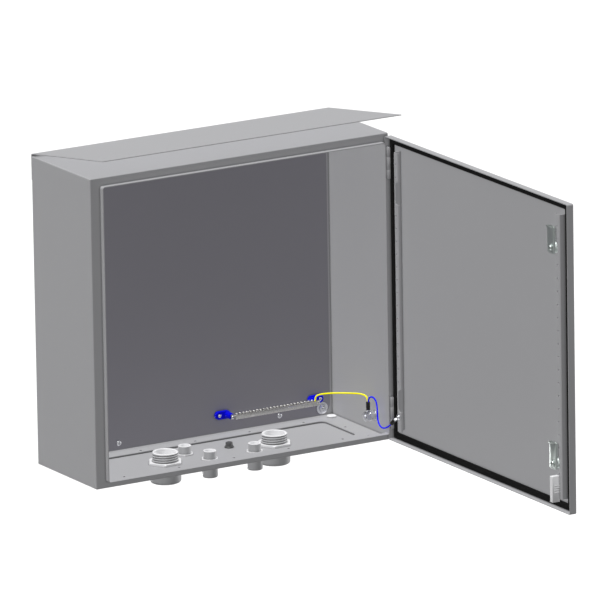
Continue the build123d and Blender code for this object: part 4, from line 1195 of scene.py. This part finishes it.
# Hinges, guide block and the lug on the door
DOOR_LUG_SCREW = (4.4, 2.4, 2.5)
DOOR_LUG_RECESS = (2.4, 0.6)
ROUNDED_FITTINGS = [
    ("frame_hinge_knuckles", "root", "grey_paint", 0.5),
    ("door_hinge_knuckles", "door", "grey_paint", 0.5),
    ("hinge_pins", "root", "zinc", 0.3),
    ("guide_block", "door", "light_nylon", 0.25),
]


def add_door_fittings():
    """Rounded hinge knuckles and guide block, and the screw of the door's lug."""
    for fitting in ROUNDED_FITTINGS:
        softened(*fitting)
    screw = screw_in(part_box("door_lug_screw"), 0, DOOR_LUG_SCREW, DOOR_LUG_RECESS, LEFT)
    add_piece("recessed_lug_screw", screw, "door", "zinc", ["door_lug_screw"])


# Earth bar and insulators
BAR_ROUNDING = 0.35
INSULATOR_ROUNDING = 0.5
INSULATOR_SCREW = (3.3, 1.8, 2.2)
INSULATOR_RECESS = (1.7, 0.45)
TERMINAL_SCREW = (2.6, 3.0)
TERMINAL_EASE = 0.5
TERMINAL_SLOT_SHARE = 0.72
TERMINAL_SLOT_HALF_WIDTH = 0.42
TERMINAL_SLOT_DEPTH = 1.3
TERMINAL_PITCH = 7.6
TERMINAL_COUNT = 23


def add_earth_bar():
    """The bar with its row of slotted terminal screws, and the insulators with their screws."""
    softened("earth_bar", "root", "nickel", BAR_ROUNDING)
    softened("insulators", "root", "blue_plastic", INSULATOR_ROUNDING)
    radius, height = TERMINAL_SCREW
    slot = straight_slot(TERMINAL_SLOT_SHARE * radius, TERMINAL_SLOT_HALF_WIDTH)
    grub = turned(
        [
            (0, 0),
            (radius, 0),
            (radius, height - TERMINAL_EASE),
            (radius - TERMINAL_EASE, height),
            (slot, height),
            (slot, height - TERMINAL_SLOT_DEPTH),
            (0, height - TERMINAL_SLOT_DEPTH),
        ],
        sides=40,
    )
    low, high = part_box("terminal_screws")
    first = Vector((low.x + radius * MM, (low.y + high.y) / 2, low.z))
    mesh = copies_in_row(grub, first, TERMINAL_COUNT, TERMINAL_PITCH * MM, "nickel")
    add_piece("slotted_terminal_screws", mesh, "root", "nickel", ["terminal_screws"])
    screws = [
        screw_in(box, 1, INSULATOR_SCREW, INSULATOR_RECESS, FRONT)
        for box in solids_of("insulator_screws")
    ]
    add_piece("insulator_fixings", joined(screws), "root", "zinc", ["insulator_screws"])


# Earth stud on the hinge-side wall
EARTH_STUD_RADIUS = 5.0
EARTH_NUT_FLATS = 17.0
EARTH_NUT_HEIGHT = 8.0
EARTH_WASHER = (10.0, 5.2, 2.0)
EARTH_THREAD_PITCH = 1.5
EARTH_THREAD_SINK = 0.15
EARTH_TIP_EASE = 0.9
EARTH_RIDGE = 0.5
ROUNDED_LUGS = [
    ("wall_lug", "root", "zinc", 0.3),
    ("door_lug", "door", "zinc", 0.3),
    ("wall_lug_sleeve", "root", "black_rubber", 0.5),
    ("door_lug_sleeve", "door", "black_rubber", 0.5),
]


def add_earth_stud():
    """The stud with its two washers and nuts, the lugs and their black sleeves."""
    bore = EARTH_STUD_RADIUS + NUT_CLEARANCE
    nuts = faced(nut(EARTH_NUT_FLATS, bore, EARTH_NUT_HEIGHT), LEFT)
    mesh = copies_on(nuts, places_at("earth_nuts", 0), "zinc")
    add_piece("earth_stud_nuts", mesh, "root", "zinc", ["earth_nuts"])
    discs = faced(washer(*EARTH_WASHER), LEFT)
    mesh = copies_on(discs, places_at("earth_washers", 0), "zinc")
    add_piece("earth_stud_washers", mesh, "root", "zinc", ["earth_washers"])
    low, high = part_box("earth_stud")
    place = (low + high) / 2
    place.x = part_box("earth_nuts")[0].x
    tip = (place.x - low.x) / MM
    radius, length = EARTH_STUD_RADIUS - EARTH_THREAD_SINK, tip - EARTH_TIP_EASE
    ridge = thread(radius, length, EARTH_THREAD_PITCH, EARTH_RIDGE, "zinc")
    add_piece("earth_stud_thread", set_at(ridge, place, LEFT), "root", "zinc")
    for lug in ROUNDED_LUGS:
        softened(*lug)


def build_scene():
    """Every piece of the cabinet."""
    dress_cad_nodes()
    add_wire("yellow_earth_wire", YELLOW_ROUTE, "yellow_insulation", "yellow_wire", False)
    add_wire("blue_earth_wire", BLUE_ROUTE, "blue_insulation", "blue_wire", True)
    add_plate_fixings()
    add_earth_bar()
    add_earth_stud()
    add_glands()
    add_floor_fittings()
    add_roof_rivets()
    add_locks()
    add_door_fittings()


# Room: a pale floor well below the cabinet, a white surround and soft light with no hard shadow
FLOOR_LEVEL = -1.2
FLOOR_HALF_SIZE = 30.0
AMBIENT = 0.26
SKY_SHARES = (0.7, 1.3)
MIRRORED_SHARE = 2.4
HORIZON_BAND = 0.1
BAND_EDGES = (0.15, 0.4)
SUN_WIDTH = radians(30)
KEY_LIGHT = Vector((-0.545, -0.24, 1.15))
FILL_LIGHTS = {
    "right": (Vector((1, 0, 0)), 0.7),
    "rear": (Vector((0, 1, -0.16)), 0.5),
    "low": (Vector((0, 0, -1)), 0.3),
}


def add_floor():
    """A flat pale floor."""
    half = FLOOR_HALF_SIZE
    corners = [(-half, -half), (half, -half), (half, half), (-half, half)]
    mesh = bpy.data.meshes.new("floor")
    mesh.from_pydata([(x, y, FLOOR_LEVEL) for x, y in corners], [], [(0, 1, 2, 3)])
    floor = placed("floor", mesh)
    material = grained("pale_floor", (0.8, 0.8, 0.8), 0.8, 40.0, 0.0001, 0.004, specular=0.0)
    mesh.materials.append(material)
    floor.visible_diffuse = False
    floor.visible_glossy = False


def add_sun(name, direction, strength):
    """A wide soft light from this direction."""
    light = bpy.data.lights.new(name, "SUN")
    light.energy = pi * strength
    light.angle = SUN_WIDTH
    light.use_shadow = False
    sun = placed(name, light)
    sun.rotation_mode = "QUATERNION"
    sun.rotation_quaternion = direction.to_track_quat("Z", "Y")


def set_world():
    """White behind the cabinet, and a dimmer sky that is lighter overhead to light it."""
    world = bpy.data.worlds.new("studio")
    bpy.context.scene.world = world
    world.use_nodes = True
    tree = world.node_tree
    tree.nodes.clear()
    place = add_node(tree, "ShaderNodeTexCoord")
    split = add_node(tree, "ShaderNodeSeparateXYZ")
    sky = add_node(tree, "ShaderNodeMapRange", From_Min=-1.0, From_Max=1.0)
    sky.inputs["To Min"].default_value = SKY_SHARES[0] * AMBIENT
    sky.inputs["To Max"].default_value = SKY_SHARES[1] * AMBIENT
    light = add_node(tree, "ShaderNodeBackground")
    backdrop = add_node(tree, "ShaderNodeBackground", Strength=1.0)
    backdrop.inputs["Color"].default_value = (1, 1, 1, 1)
    ray = add_node(tree, "ShaderNodeLightPath")
    choice = add_node(tree, "ShaderNodeMixShader")
    result = add_node(tree, "ShaderNodeOutputWorld")
    tree.links.new(place.outputs["Generated"], split.inputs[0])
    tree.links.new(split.outputs["Z"], sky.inputs["Value"])
    above = add_math(tree, "SUBTRACT", 1, HORIZON_BAND)
    away = add_math(tree, "ABSOLUTE")
    band = add_node(
        tree,
        "ShaderNodeMapRange",
        From_Min=BAND_EDGES[0],
        From_Max=BAND_EDGES[1],
        To_Max=MIRRORED_SHARE,
    )
    shine = add_math(tree, "MULTIPLY_ADD", 2, 1.0)
    tree.links.new(split.outputs["Z"], above.inputs[0])
    tree.links.new(above.outputs[0], away.inputs[0])
    tree.links.new(away.outputs[0], band.inputs["Value"])
    tree.links.new(band.outputs[0], shine.inputs[1])
    brighter = add_math(tree, "MULTIPLY")
    tree.links.new(ray.outputs["Is Glossy Ray"], shine.inputs[0])
    tree.links.new(shine.outputs[0], brighter.inputs[0])
    tree.links.new(sky.outputs[0], brighter.inputs[1])
    tree.links.new(brighter.outputs[0], light.inputs["Strength"])
    tree.links.new(ray.outputs["Is Camera Ray"], choice.inputs[0])
    tree.links.new(light.outputs[0], choice.inputs[1])
    tree.links.new(backdrop.outputs[0], choice.inputs[2])
    tree.links.new(choice.outputs[0], result.inputs["Surface"])
    bpy.context.scene.view_settings.view_transform = "Standard"


set_camera()
build_scene()
add_floor()
add_sun("key_light", KEY_LIGHT.normalized(), KEY_LIGHT.length)
for side, (direction, strength) in FILL_LIGHTS.items():
    add_sun(side + "_fill_light", direction, strength)
set_world()
